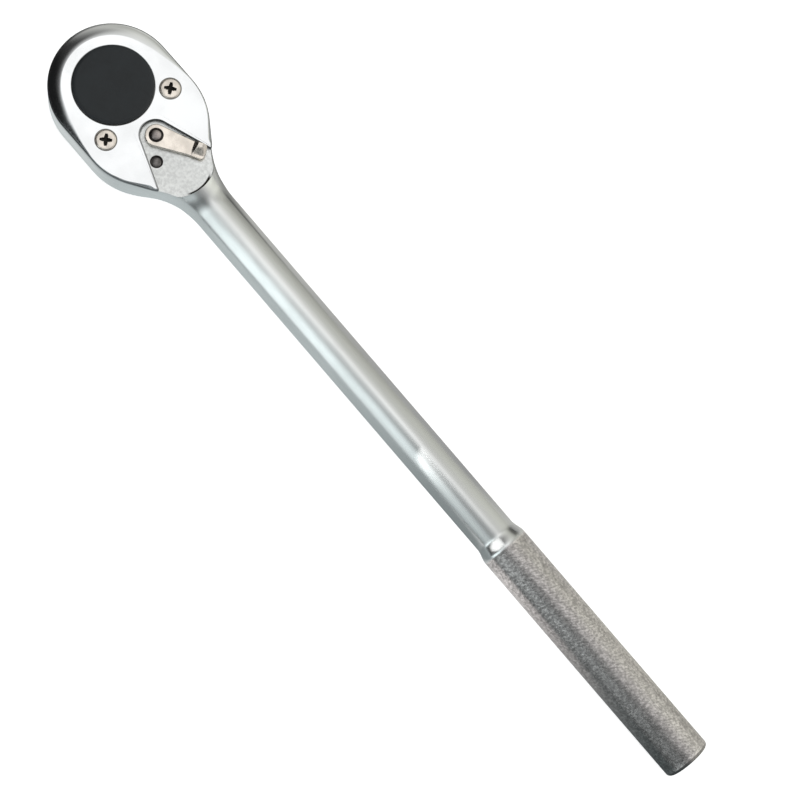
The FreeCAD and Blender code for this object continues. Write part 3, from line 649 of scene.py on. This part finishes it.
class Nodes:
    """Short way to build a node tree."""

    def __init__(self, tree):
        self.tree = tree

    def add(self, kind, values=None, **settings):
        node = self.tree.nodes.new(kind)
        for key, value in settings.items():
            setattr(node, key, value)
        for key, value in (values or {}).items():
            if isinstance(value, bpy.types.NodeSocket):
                self.tree.links.new(value, node.inputs[key])
            else:
                node.inputs[key].default_value = value
        return node

    def maths(self, operation, a, b=0.0, c=0.0):
        return self.add("ShaderNodeMath", {0: a, 1: b, 2: c}, operation=operation).outputs[0]

    def ramp(self, value, low, high):
        node = self.add("ShaderNodeMapRange", {0: value, 1: low, 2: high}, interpolation_type="SMOOTHSTEP")
        return node.outputs[0]

    def blend(self, share, a, b):
        node = self.add("ShaderNodeMix", data_type="RGBA")
        for socket, value in ((node.inputs[0], share), (node.inputs[6], a), (node.inputs[7], b)):
            if isinstance(value, bpy.types.NodeSocket):
                self.tree.links.new(value, socket)
            else:
                socket.default_value = value
        return node.outputs[2]


    def join(self, value, socket):
        self.tree.links.new(value, socket)

    def group(self, tree, **values):
        """Group node with values by socket name, a low line standing for each space."""
        node = self.add("ShaderNodeGroup", node_tree=tree)
        for label, value in values.items():
            node.inputs[label.replace("_", " ")].default_value = value
        return node.outputs

    def far(self, a, b):
        """Square root of a^2 + b^2."""
        squares = self.maths("MULTIPLY", a, a), self.maths("MULTIPLY", b, b)
        return self.maths("SQRT", self.maths("ADD", *squares))

    def axes(self, space="Object"):
        place = self.add("ShaderNodeTexCoord").outputs[space]
        return self.add("ShaderNodeSeparateXYZ", {0: place}).outputs


def new_material(name):
    material = bpy.data.materials.new(name)
    material.use_nodes = True
    return material, Nodes(material.node_tree), material.node_tree.nodes["Principled BSDF"]


def dulled(colour, share):
    return tuple(c * share for c in colour)


def new_group(name, inputs, outputs):
    tree = bpy.data.node_groups.new(name, "ShaderNodeTree")
    for label, kind, default in inputs:
        socket = tree.interface.new_socket(label, in_out="INPUT", socket_type=kind)
        socket.default_value = default
    for label, kind in outputs:
        tree.interface.new_socket(label, in_out="OUTPUT", socket_type=kind)
    n = Nodes(tree)
    return n, n.add("NodeGroupInput"), n.add("NodeGroupOutput")


def plating_grain_group():
    """Cloudy patches and fine grain of plated steel on Object coordinates: two noises."""
    if "plating grain" in bpy.data.node_groups:
        return bpy.data.node_groups["plating grain"]
    n, given, out = new_group(
        "plating grain",
        [("Patch Scale", "NodeSocketFloat", 60.0), ("Grain Scale", "NodeSocketFloat", 900.0),
         ("Stretch", "NodeSocketVector", (1.0, 1.0, 1.0))],
        [("Patches", "NodeSocketFloat"), ("Grain", "NodeSocketFloat")])
    place = n.add("ShaderNodeTexCoord").outputs["Object"]
    stretched = {0: place, 1: given.outputs["Stretch"]}
    long = n.add("ShaderNodeVectorMath", stretched, operation="MULTIPLY").outputs[0]
    patches, grain = (
        n.add("ShaderNodeTexNoise", {"Vector": long, "Scale": given.outputs[scale], "Detail": detail,
                                     "Roughness": rough})
        for scale, detail, rough in (("Patch Scale", 4.0, 0.6), ("Grain Scale", 2.0, 0.7)))
    n.join(n.ramp(patches.outputs[0], 0.32, 0.68), out.inputs["Patches"])
    n.join(n.ramp(grain.outputs[0], 0.25, 0.75), out.inputs["Grain"])
    return n.tree


def handle_zones_group():
    """Masks by place on the forging: the grip, how deep a point lies in the knurl, the milled floor,
    and the corner along the floor's round end, where shade is painted."""
    if "handle zones" in bpy.data.node_groups:
        return bpy.data.node_groups["handle zones"]
    n, given, out = new_group(
        "handle zones", [("Knurl Depth", "NodeSocketFloat", 0.0003)],
        [(label, "NodeSocketFloat") for label in ("Grip", "Valley", "Milled", "Corner Shade")])
    x, y, z = n.axes()
    radius = n.far(y, n.maths("SUBTRACT", z, AXIS_Z * MM))
    sunk = n.maths("DIVIDE", n.maths("SUBTRACT", GRIP_R * MM, radius), given.outputs["Knurl Depth"])
    n.join(n.ramp(x, (GRIP_START - 0.4) * MM, (GRIP_START + 0.6) * MM), out.inputs["Grip"])
    n.join(n.ramp(sunk, 0.15, 0.9), out.inputs["Valley"])
    flat = n.ramp(n.maths("ABSOLUTE", n.maths("SUBTRACT", z, HEAD_TOP * MM)), 0.00008, 0.00003)
    milled = n.maths("MULTIPLY", flat, n.ramp(x, (MILL_END + 0.3) * MM, MILL_END * MM))
    # Corner: painted shade on the milled floor along its round end, where it meets the neck's wall.
    back = n.maths("SUBTRACT", x, (MILL_END - MILL_R) * MM)
    corner = n.ramp(n.far(back, y), (MILL_R - 1.6) * MM, (MILL_R - 1.2) * MM)
    corner = n.maths("MULTIPLY", corner, n.maths("GREATER_THAN", back, 0.0))
    aside = n.maths("ABSOLUTE", n.maths("SUBTRACT", y, 0.0007))
    corner = n.maths("MULTIPLY", corner, n.ramp(aside, 0.0086, 0.0062))
    n.join(n.maths("MULTIPLY", milled, corner), out.inputs["Corner Shade"])
    n.join(milled, out.inputs["Milled"])
    return n.tree


def cover_shade_group():
    """Masks of painted shade on the cover and its screws: round each countersink, inside each cross,
    and down the sheared walls of the notch, wider on its -Y side. The notch wall is where the way out
    of the notch's circle or wedge is nearly 0."""
    if "cover painted shade" in bpy.data.node_groups:
        return bpy.data.node_groups["cover painted shade"]
    n, given, out = new_group(
        "cover painted shade", [("Ring Radius", "NodeSocketFloat", 0.006)],
        [(label, "NodeSocketFloat") for label in ("Ring Shade", "Cross Shade", "Notch Shade")])
    x, across, z = n.axes()
    y = n.maths("ABSOLUTE", across)

    def far_from(cx, cy):
        return n.far(n.maths("SUBTRACT", x, cx * MM), n.maths("SUBTRACT", y, cy * MM))

    # Ring: painted shade in each countersink round the screw head.
    far = far_from(*SCREW_AT)
    edge = n.maths("SUBTRACT", far, given.outputs["Ring Radius"])
    n.join(n.ramp(edge, 0.0001, -0.00005), out.inputs["Ring Shade"])
    # Cross: painted shade in the bottom of each cross recess.
    inner = n.ramp(far, 0.0045, 0.0041)
    low = n.ramp(z, (COVER_TOP + 0.3) * MM, (COVER_TOP - 0.25) * MM)
    n.join(n.maths("MULTIPLY", inner, low), out.inputs["Cross Shade"])
    # Notch: painted shadow line along the notch's walls, wider on the -Y side.
    circle = n.maths("SUBTRACT", far_from(PIVOT_X, 0.0), NOTCH_R * MM)
    wedge = n.maths("MULTIPLY_ADD", x, math.tan(NOTCH_SPREAD), notch_edge(0.0) * MM)
    line = n.maths("SUBTRACT", y, wedge)
    behind = n.maths("GREATER_THAN", x, (PIVOT_X - NOTCH_R * math.sin(NOTCH_SPREAD)) * MM)
    before = n.maths("MULTIPLY", n.maths("SUBTRACT", 1.0, behind), circle)
    way = n.maths("ADD", n.maths("MULTIPLY", behind, line), before)
    way = n.maths("MULTIPLY_ADD", n.ramp(across, 0.004, -0.004), -0.0005, way)
    n.join(n.ramp(way, 0.0004, 0.0002), out.inputs["Notch Shade"])
    return n.tree


def lay_over(material, mask, colour, roughening):
    """Blends a colour over a finished material by the mask, and roughens it there."""
    n = Nodes(material.node_tree)
    sockets = material.node_tree.nodes["Principled BSDF"].inputs
    tone, rough = (sockets[label].links[0].from_socket for label in ("Base Color", "Roughness"))
    n.join(n.blend(mask, tone, (*colour, 1)), sockets["Base Color"])
    n.join(n.maths("MULTIPLY_ADD", mask, roughening, rough), sockets["Roughness"])
    return material


def darken(material, outlet, share=0.96):
    """Lays near-black painted shade over a finished metal wherever the given mask of the cover's painted shade says."""
    n = Nodes(material.node_tree)
    mask = n.maths("MULTIPLY", n.group(cover_shade_group())[outlet], share)
    return lay_over(material, mask, (0.02, 0.018, 0.016), 0.35)


def metal(name, colour, dull, roughness, spread, patch=60.0, grain=900.0, bump=0.02, metallic=1.0,
          specular=0.5):
    """Plated or oiled steel, or rubber: colour and roughness wander between two values, and fine
    grain lifts the surface."""
    material, n, shader = new_material(name)
    patches, fine = n.group(plating_grain_group(), Patch_Scale=patch, Grain_Scale=grain)
    n.join(n.blend(patches, (*colour, 1), (*dull, 1)), shader.inputs["Base Color"])
    rough = n.add("ShaderNodeMapRange", {0: patches, 3: roughness, 4: roughness + spread}).outputs[0]
    n.join(rough, shader.inputs["Roughness"])
    lift = n.add("ShaderNodeBump", {"Height": fine, "Strength": bump, "Distance": GRAIN_HEIGHT})
    n.join(lift.outputs[0], shader.inputs["Normal"])
    shader.inputs["Metallic"].default_value = metallic
    shader.inputs["Specular IOR Level"].default_value = specular
    return material


def forging_finish(colours, depth):
    """Satin plate that is bright on the shank, frosted on the milled floor, near black with painted shade
    in the floor's corner, and worn in the knurl and darker in its valleys."""
    material, n, shader = new_material("satin plate")
    grip, valley, milled, corner = n.group(handle_zones_group(), Knurl_Depth=depth)
    patches, grain = n.group(plating_grain_group(), Patch_Scale=45.0, Grain_Scale=900.0,
                             Stretch=(0.25, 1, 1))
    sand, sand_grain = n.group(plating_grain_group(), Patch_Scale=620.0, Grain_Scale=1500.0)
    bright, grey = (*colours.chrome, 1), (*dulled(colours.chrome, 0.9), 1)
    frost = (*(min(c, 1) for c in dulled(colours.chrome, 1.15)), 1)
    tone = n.blend(milled, n.blend(patches, bright, grey), n.blend(sand, frost, grey))
    worn = n.blend(sand, (*colours.grip, 1), (*dulled(colours.grip, 0.55), 1))
    # Darker towards the bottom of the knurl's valleys.
    valley_darkened = n.blend(n.maths("MULTIPLY", valley, 0.6), worn, (0.17, 0.16, 0.155, 1))
    # Near black where the corner mask lies: painted shade along the milled floor's round end.
    tone = n.blend(corner, n.blend(grip, tone, valley_darkened), (0.03, 0.028, 0.026, 1))
    n.join(tone, shader.inputs["Base Color"])
    rough = n.maths("MULTIPLY_ADD", patches, 0.06, 0.2)
    rough = n.maths("ADD", rough, n.maths("MULTIPLY", milled, 0.1))
    rough = n.maths("ADD", rough, n.maths("MULTIPLY", grip, 0.03))
    n.join(rough, shader.inputs["Roughness"])
    frosted = n.maths("MULTIPLY", sand_grain, n.maths("MAXIMUM", milled, grip))
    height = n.maths("ADD", n.maths("MULTIPLY", grain, 0.08), n.maths("MULTIPLY", frosted, 0.6))
    lift = n.add("ShaderNodeBump", {"Height": height, "Strength": 0.12, "Distance": GRAIN_HEIGHT})
    n.join(lift.outputs[0], shader.inputs["Normal"])
    shader.inputs["Metallic"].default_value = 1.0
    return material


def finish_node(node, material):
    """Gives a CAD node its finish without touching its mesh."""
    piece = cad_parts[node]
    if not piece.material_slots:
        piece.data.materials.append(material)
    for slot in piece.material_slots:
        slot.link = "OBJECT"
        slot.material = material


def finish_piece(piece, material, node, body):
    piece.data.materials.clear()
    piece.data.materials.append(material)
    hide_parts(node)
    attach(piece, body)


# ---------------------------------------------------------------- settings


class RatchetSizes(bpy.types.PropertyGroup):
    knurl_pitch: bpy.props.FloatProperty(
        name="Knurl pitch", description="Distance from one knurl diamond to the next", default=0.00117, unit="LENGTH")
    knurl_depth: bpy.props.FloatProperty(
        name="Knurl depth", description="Height of the knurl diamonds", default=0.00012, unit="LENGTH")
    shoulder_width: bpy.props.FloatProperty(
        name="Shoulder width", description="Width of the cover's bevelled shoulder round the front", default=0.0070, unit="LENGTH")
    shoulder_drop: bpy.props.FloatProperty(
        name="Shoulder drop", description="Fall of the cover's shoulder to its outer edge", default=0.0026, unit="LENGTH")
    lever_angle: bpy.props.FloatProperty(
        name="Lever angle", description="Angle of the lever from the handle", default=math.radians(30), subtype="ANGLE")
    tab_rise: bpy.props.FloatProperty(
        name="Tab rise", description="Share of the thumb tab's full height", default=0.8, subtype="FACTOR")


class RatchetColours(bpy.types.PropertyGroup):
    chrome: bpy.props.FloatVectorProperty(
        name="Chrome", description="Plate on the forging", default=(0.82, 0.83, 0.82), size=3, subtype="COLOR")
    cover: bpy.props.FloatVectorProperty(
        name="Cover", description="Polished plate on the cover", default=(0.88, 0.89, 0.90), size=3, subtype="COLOR")
    nickel: bpy.props.FloatVectorProperty(
        name="Nickel", description="Warm plate on lever and screws", default=(0.95, 0.87, 0.785), size=3, subtype="COLOR")
    grip: bpy.props.FloatVectorProperty(
        name="Grip", description="Worn plate on the knurl", default=(0.86, 0.82, 0.80), size=3, subtype="COLOR")
    black: bpy.props.FloatVectorProperty(
        name="Black", description="Blackened steel of the hub disc", default=(0.031, 0.035, 0.039), size=3, subtype="COLOR")


# ---------------------------------------------------------------- pieces


class RATCHET_OT_forging(bpy.types.Operator):
    """Makes the one-piece forging: head, neck, shank and knurled grip"""
    bl_idname = "ratchet.forging"
    bl_label = "Forging"

    def execute(self, context):
        sizes = context.scene.ratchet_sizes
        points = handle_points(sizes.knurl_pitch / MM, sizes.knurl_depth / MM)
        piece = mesh_from_grids("forging", [(points, False, True)])
        subtract(piece, [cavity_tool()])
        plate = forging_finish(context.scene.ratchet_colours, sizes.knurl_depth)
        finish_piece(piece, plate, "handle", "handle")
        return {"FINISHED"}


class RATCHET_OT_cover(bpy.types.Operator):
    """Makes the cover with its bevelled shoulder, hub hole, notch and countersinks"""
    bl_idname = "ratchet.cover"
    bl_label = "Cover"

    def execute(self, context):
        sizes, colours = context.scene.ratchet_sizes, context.scene.ratchet_colours
        points, marks = cover_points(sizes.shoulder_width / MM, sizes.shoulder_drop / MM)
        piece = mesh_from_grids("cover", [(points, True, True)], marks=marks)
        sink = [(0, COVER_TOP + 1), (SINK_R + 1, COVER_TOP + 1), (SINK_R, COVER_TOP),
                (SCREW_HOLE_R, COVER_TOP - 2.65), (SCREW_HOLE_R, HEAD_TOP - 1), (0, HEAD_TOP - 1)]
        places = [(SCREW_AT[0], side * SCREW_AT[1]) for side in (1, -1)]
        tools = [mesh_from_grids("sink", [(turned(sink, place), False, True)]) for place in places]
        subtract(piece, tools)
        clear_marks(piece.data)
        chrome = metal("bright plate", colours.cover, dulled(colours.cover, 0.94), 0.12, 0.05,
                       patch=35.0, bump=0.015)
        # Painted shade in the countersinks and a painted shadow line along the notch walls.
        darken(darken(chrome, "Ring Shade", share=0.6), "Notch Shade", share=0.6)
        # The edge attribute is the painted dark shadow line round the cover's outline, laid over in near black.
        n = Nodes(chrome.node_tree)
        outline = n.add("ShaderNodeAttribute", attribute_name="edge").outputs["Fac"]
        lay_over(chrome, n.maths("MULTIPLY", outline, 0.9), (0.09, 0.10, 0.105), 0.2 / 0.9)
        finish_piece(piece, chrome, "cover_plate", "handle")
        low = HEAD_TOP + 0.8
        lip = [(21.6, low), (22.28, low), (22.28, COVER_TOP - 0.56), (22.0, COVER_TOP - 0.52),
               (21.7, COVER_TOP - 0.62), (21.56, COVER_TOP - 0.9)]
        seal = mesh_from_grids("seal_lip", [(turned(lip, columns=128), True, True)])
        rubber = metal("nitrile lip", (0.018, 0.018, 0.019), (0.03, 0.03, 0.03), 0.6, 0.15,
                       patch=200.0, bump=0.1, metallic=0.0)
        finish_piece(seal, rubber, "hub_seal", "handle")
        return {"FINISHED"}


class RATCHET_OT_screws(bpy.types.Operator):
    """Makes the two cross-recess cover screws"""
    bl_idname = "ratchet.screws"
    bl_label = "Cover screws"

    def execute(self, context):
        colours = context.scene.ratchet_colours
        grids = screw_points(SCREW_AT, math.radians(40))
        grids += screw_points((SCREW_AT[0], -SCREW_AT[1]), math.radians(44))
        piece = mesh_from_grids("screws", grids)
        nickel = metal("screw nickel", colours.nickel, dulled(colours.nickel, 0.9), 0.26, 0.1,
                       patch=250.0, bump=0.03)
        # Painted shade in the bottom of each cross recess.
        finish_piece(piece, darken(nickel, "Cross Shade"), "cover_screws", "handle")
        return {"FINISHED"}


class RATCHET_OT_hub_disc(bpy.types.Operator):
    """Makes the blackened disc in the middle of the cover"""
    bl_idname = "ratchet.hub_disc"
    bl_label = "Hub disc"

    def execute(self, context):
        colours = context.scene.ratchet_colours
        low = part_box("hub_disc")[0].z / MM
        top, bottom = COVER_TOP + CAP_RISE, COVER_TOP + 0.5
        rim = ((CAP_R, 0.75), (21.33, 0.52), (21.1, 0.4), (20.3, 0.16), (19.95, 0.03), (19.5, 0))
        profile = [(0, low), (CAP_STEM_R, low), (CAP_STEM_R, bottom), (CAP_R - 0.15, bottom),
                   (CAP_R, bottom + 0.15)]
        profile += [(r, top - down) for r, down in rim + ((10, 0), (0, 0))]
        piece = mesh_from_grids("hub_cap", [(turned(profile, columns=160), False, True)])
        black = metal("blackened steel", colours.black, dulled(colours.black, 1.35), 0.5, 0.1,
                      patch=70.0, grain=1600.0, bump=0.08, metallic=0.0, specular=0.4)
        finish_piece(piece, black, "hub_disc", "drive")
        return {"FINISHED"}


class RATCHET_OT_lever(bpy.types.Operator):
    """Makes the reversing lever with its curled thumb tab"""
    bl_idname = "ratchet.lever"
    bl_label = "Reversing lever"

    def execute(self, context):
        sizes, colours = context.scene.ratchet_sizes, context.scene.ratchet_colours
        grid = turned_to_rest(lever_points(sizes.tab_rise), sizes.lever_angle)
        piece = mesh_from_grids("lever", [(grid, False, True)], sharp=40.0)
        top, r = LEVER_BOTTOM + LEVER_THICK, LEVER_HOLE_R
        hole = [(0, top + 1), (4.1, top + 1), (3.95, top), (r, top - 0.2), (r, top - 4), (0, top - 4)]
        eye = mesh_from_grids("eye", [(turned(hole, (PIVOT_X, 0.0)), False, True)])
        subtract(piece, [eye], sharp=40.0)
        nickel = metal("lever nickel", colours.nickel, dulled(colours.nickel, 0.93), 0.22, 0.1,
                       patch=180.0, bump=0.03)
        finish_piece(piece, nickel, "reversing_lever", "selector")
        return {"FINISHED"}


class RATCHET_OT_mechanism(bpy.types.Operator):
    """Gives the gear, pawls, pins, springs, balls and washers their finishes, and makes the domed ends of the spindle
    and pins
    """
    bl_idname = "ratchet.mechanism"
    bl_label = "Mechanism finishes"

    def execute(self, context):
        # The dark finish on the spindle and pin tops is partly black steel and partly painted shade: it makes the rings
        # round their domed ends look like shaded gaps.
        drive, hard, spring, dark = (
            metal(name, bright, dull, roughness, spread, patch=patch, bump=bump)
            for name, bright, dull, roughness, spread, patch, bump in (
                ("oiled steel", (0.42, 0.41, 0.40), (0.33, 0.325, 0.32), 0.3, 0.14, 120.0, 0.05),
                ("ground steel", (0.55, 0.54, 0.54), (0.42, 0.41, 0.41), 0.24, 0.12, 300.0, 0.03),
                ("spring steel", (0.40, 0.40, 0.42), (0.30, 0.30, 0.31), 0.28, 0.1, 300.0, 0.02),
                ("black steel and painted gap shade", (0.05, 0.042, 0.04), (0.03, 0.027, 0.026), 0.35, 0.15, 300.0, 0.03)))
        finishes = {
            "ratchet_gear": drive, "drive_ball": hard, "lever_washer": hard, "cam_spindle": dark,
            "detent_ball": hard, "pawl_left": hard, "pawl_right": hard, "pawl_pin_left": dark,
            "pawl_pin_right": dark, "thrust_washer": spring, "drive_ball_spring": spring,
            "detent_spring": spring, "pawl_spring_left": spring, "pawl_spring_right": spring,
        }
        for node, material in finishes.items():
            finish_node(node, material)
        pins = (PIN_AT, (PIN_AT[0], -PIN_AT[1]))
        for name, node, body, spots, r, rise, tone in (
                ("spindle_end", "cam_spindle", "selector", ((PIVOT_X, 0.0),), 2.65, 0.55,
                 (0.55, 0.49, 0.47)),
                # The pin ends' tone is a darker copy of the spindle end's steel: painted shade of the holes they sit
                # in.
                ("pin_ends", "pawl_pin_left", "handle", pins, 2.7, 0.45, (0.22, 0.205, 0.20))):
            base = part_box(node)[1].z / MM
            ends = [(turned(domed_end(r, base, rise), spot, 48), False, True) for spot in spots]
            piece = mesh_from_grids(name, ends)
            shine = metal(name + " steel", tone, dulled(tone, 0.6), 0.26, 0.1, patch=500.0, bump=0.03)
            piece.data.materials.append(shine)
            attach(piece, body)
        return {"FINISHED"}


# ---------------------------------------------------------------- stage


def band(n, turn, stops):
    """Colour ramp over the angle from overhead towards -Y, in degrees, cool on that side and warm on
    the other."""
    ramp = n.add("ShaderNodeValToRGB", {0: n.maths("MULTIPLY_ADD", turn, 0.5 / math.pi, 0.5)})
    elements = ramp.color_ramp.elements
    elements.remove(elements[1])
    for number, (angle, light) in enumerate(stops):
        place = angle / 360 + 0.5
        if number:
            element = elements.new(place)
        else:
            element = elements[0]
            element.position = place
        warm = min(max((-angle - 8) / 50, -1), 1)
        cold, warm = min(warm, 0), max(warm, 0)
        tint = (1 + 0.085 * cold - 0.008 * warm, 1.0, 1 - 0.02 * cold - 0.078 * warm)
        element.color = (*(light * t / SKY_PEAK for t in tint), 1)
    return ramp.outputs[0]


def world_light():
    """Light tent. Its brightness goes by the angle from overhead towards -Y, with a ramp for each of
    several leans along X, and eases from one ramp to the next."""
    world = bpy.data.worlds.new("light tent")
    bpy.context.scene.world = world
    world.use_nodes = True
    n = Nodes(world.node_tree)
    x, y, z = n.axes("Generated")
    turn = n.maths("ARCTAN2", n.maths("MULTIPLY", y, -1.0), z)
    tone, before = None, None
    for lean, stops in SKY_BANDS:
        light = band(n, turn, stops)
        tone = light if tone is None else n.blend(n.ramp(x, before, lean), tone, light)
        before = lean
    seen = n.add("ShaderNodeLightPath").outputs["Is Camera Ray"]
    tone = n.blend(seen, tone, (*(BACKDROP / SKY_PEAK for _ in range(3)), 1))
    back = world.node_tree.nodes["Background"]
    n.join(tone, back.inputs["Color"])
    back.inputs["Strength"].default_value = SKY_PEAK


def flare_light():
    """Small soft light over the shank that looks at the flare and the start of the grip."""
    data = bpy.data.lights.new("flare light", "AREA")
    data.shape = "RECTANGLE"
    data.size, data.size_y = 0.15, 0.12
    data.energy = 0.08
    turn = Vector((1, 0.1, 0)).to_track_quat("-Z", "Z").to_matrix().to_4x4()
    linked("flare light", data).matrix_world = Matrix.Translation((0.255, -0.065, 0.125)) @ turn


def floor_piece():
    """Plain pale floor that the drive square's end and the grip rest on, so it slopes a little in
    this frame."""
    drop, gap, size = -0.026, 0.0004, 6.0
    rise = ((AXIS_Z - GRIP_R) * MM - drop) / (GRIP_END * MM)
    corners = [(a * size, b * size, drop + rise * a * size - gap)
               for a, b in ((-1, -1), (1, -1), (1, 1), (-1, 1))]
    mesh = bpy.data.meshes.new("floor")
    mesh.from_pydata(corners, [], [(0, 1, 2, 3)])
    floor = linked("floor", mesh)
    material, n, shader = new_material("pale floor")
    x, y, _ = n.axes()
    sides = []
    for stops in FLOOR_TONES:
        ramp = n.add("ShaderNodeValToRGB", {0: n.maths("MULTIPLY", x, 2.0)})
        elements = ramp.color_ramp.elements
        elements.remove(elements[1])
        for number, (place, light, warm) in enumerate(stops):
            element = elements.new(place * 2) if number else elements[0]
            element.position = place * 2
            cold, warm = min(warm, 0), max(warm, 0)
            element.color = (light * (1 + 0.085 * cold), light, light * (1 - 0.02 * cold - 0.078 * warm), 1)
        sides.append(ramp.outputs[0])
    tone = n.blend(n.ramp(y, -0.005, 0.03), *sides)
    dark = (0.02, 0.024, 0.028, 1)
    around = n.blend(n.ramp(n.far(x, y), 0.05, 0.07), (0.70, 0.74, 0.745, 1), dark)
    around = n.blend(n.ramp(y, 0.0, 0.012), around, dark)
    tone = n.blend(n.ramp(x, 0.05, 0.0), tone, around)
    shader.inputs["Base Color"].default_value = (0.9, 0.9, 0.9, 1)
    shader.inputs["Roughness"].default_value = 0.9
    shader.inputs["Emission Color"].default_value = (1, 1, 1, 1)
    shader.inputs["Emission Strength"].default_value = 0.8
    card = n.add("ShaderNodeEmission", {"Color": tone})
    seen = n.add("ShaderNodeLightPath").outputs["Is Camera Ray"]
    both = n.add("ShaderNodeMixShader", {0: seen, 1: card.outputs[0], 2: shader.outputs[0]})
    n.join(both.outputs[0], material.node_tree.nodes["Material Output"].inputs["Surface"])
    mesh.materials.append(material)
    return floor


class RATCHET_OT_stage(bpy.types.Operator):
    """Makes the pale floor, the light tent and the camera"""
    bl_idname = "ratchet.stage"
    bl_label = "Stage"

    def execute(self, context):
        floor_piece()
        world_light()
        flare_light()
        data = bpy.data.cameras.new("camera")
        data.lens = 101.79
        data.sensor_width = 36.0
        data.clip_start = 0.05
        data.clip_end = 20.0
        camera = linked("camera", data)
        forward = Vector((-0.02146759, 0.19382095, -0.98080201)).normalized()
        up = Vector((-0.75807122, 0.63644383, 0.1423632))
        right = forward.cross(up).normalized()
        up = right.cross(forward)
        turn = Matrix((right, up, -forward)).transposed()
        camera.matrix_world = Matrix.Translation((0.24894686, -0.22296094, 1.18776897)) @ turn.to_4x4()
        context.scene.camera = camera
        context.scene.view_settings.view_transform = "Standard"
        return {"FINISHED"}


class RATCHET_PT_panel(bpy.types.Panel):
    """Buttons that make the wrench"""
    bl_label = "Ratchet wrench"
    bl_space_type = "VIEW_3D"
    bl_region_type = "UI"
    bl_category = "Ratchet wrench"

    def draw(self, context):
        for group in (context.scene.ratchet_sizes, context.scene.ratchet_colours):
            for name in group.bl_rna.properties.keys():
                if name not in ("rna_type", "name"):
                    self.layout.prop(group, name)
        for operator in OPERATORS:
            self.layout.operator(operator.bl_idname)


OPERATORS = (
    RATCHET_OT_forging, RATCHET_OT_cover, RATCHET_OT_screws, RATCHET_OT_hub_disc,
    RATCHET_OT_lever, RATCHET_OT_mechanism, RATCHET_OT_stage,
)


def register():
    for part in (RatchetSizes, RatchetColours, *OPERATORS, RATCHET_PT_panel):
        bpy.utils.register_class(part)
    bpy.types.Scene.ratchet_sizes = bpy.props.PointerProperty(type=RatchetSizes)
    bpy.types.Scene.ratchet_colours = bpy.props.PointerProperty(type=RatchetColours)


def unregister():
    del bpy.types.Scene.ratchet_colours
    del bpy.types.Scene.ratchet_sizes
    for part in (RATCHET_PT_panel, *reversed(OPERATORS), RatchetColours, RatchetSizes):
        bpy.utils.unregister_class(part)


def main():
    register()
    bpy.ops.ratchet.forging()
    bpy.ops.ratchet.cover()
    bpy.ops.ratchet.screws()
    bpy.ops.ratchet.hub_disc()
    bpy.ops.ratchet.lever()
    bpy.ops.ratchet.mechanism()
    bpy.ops.ratchet.stage()


if __name__ == "__main__":
    main()
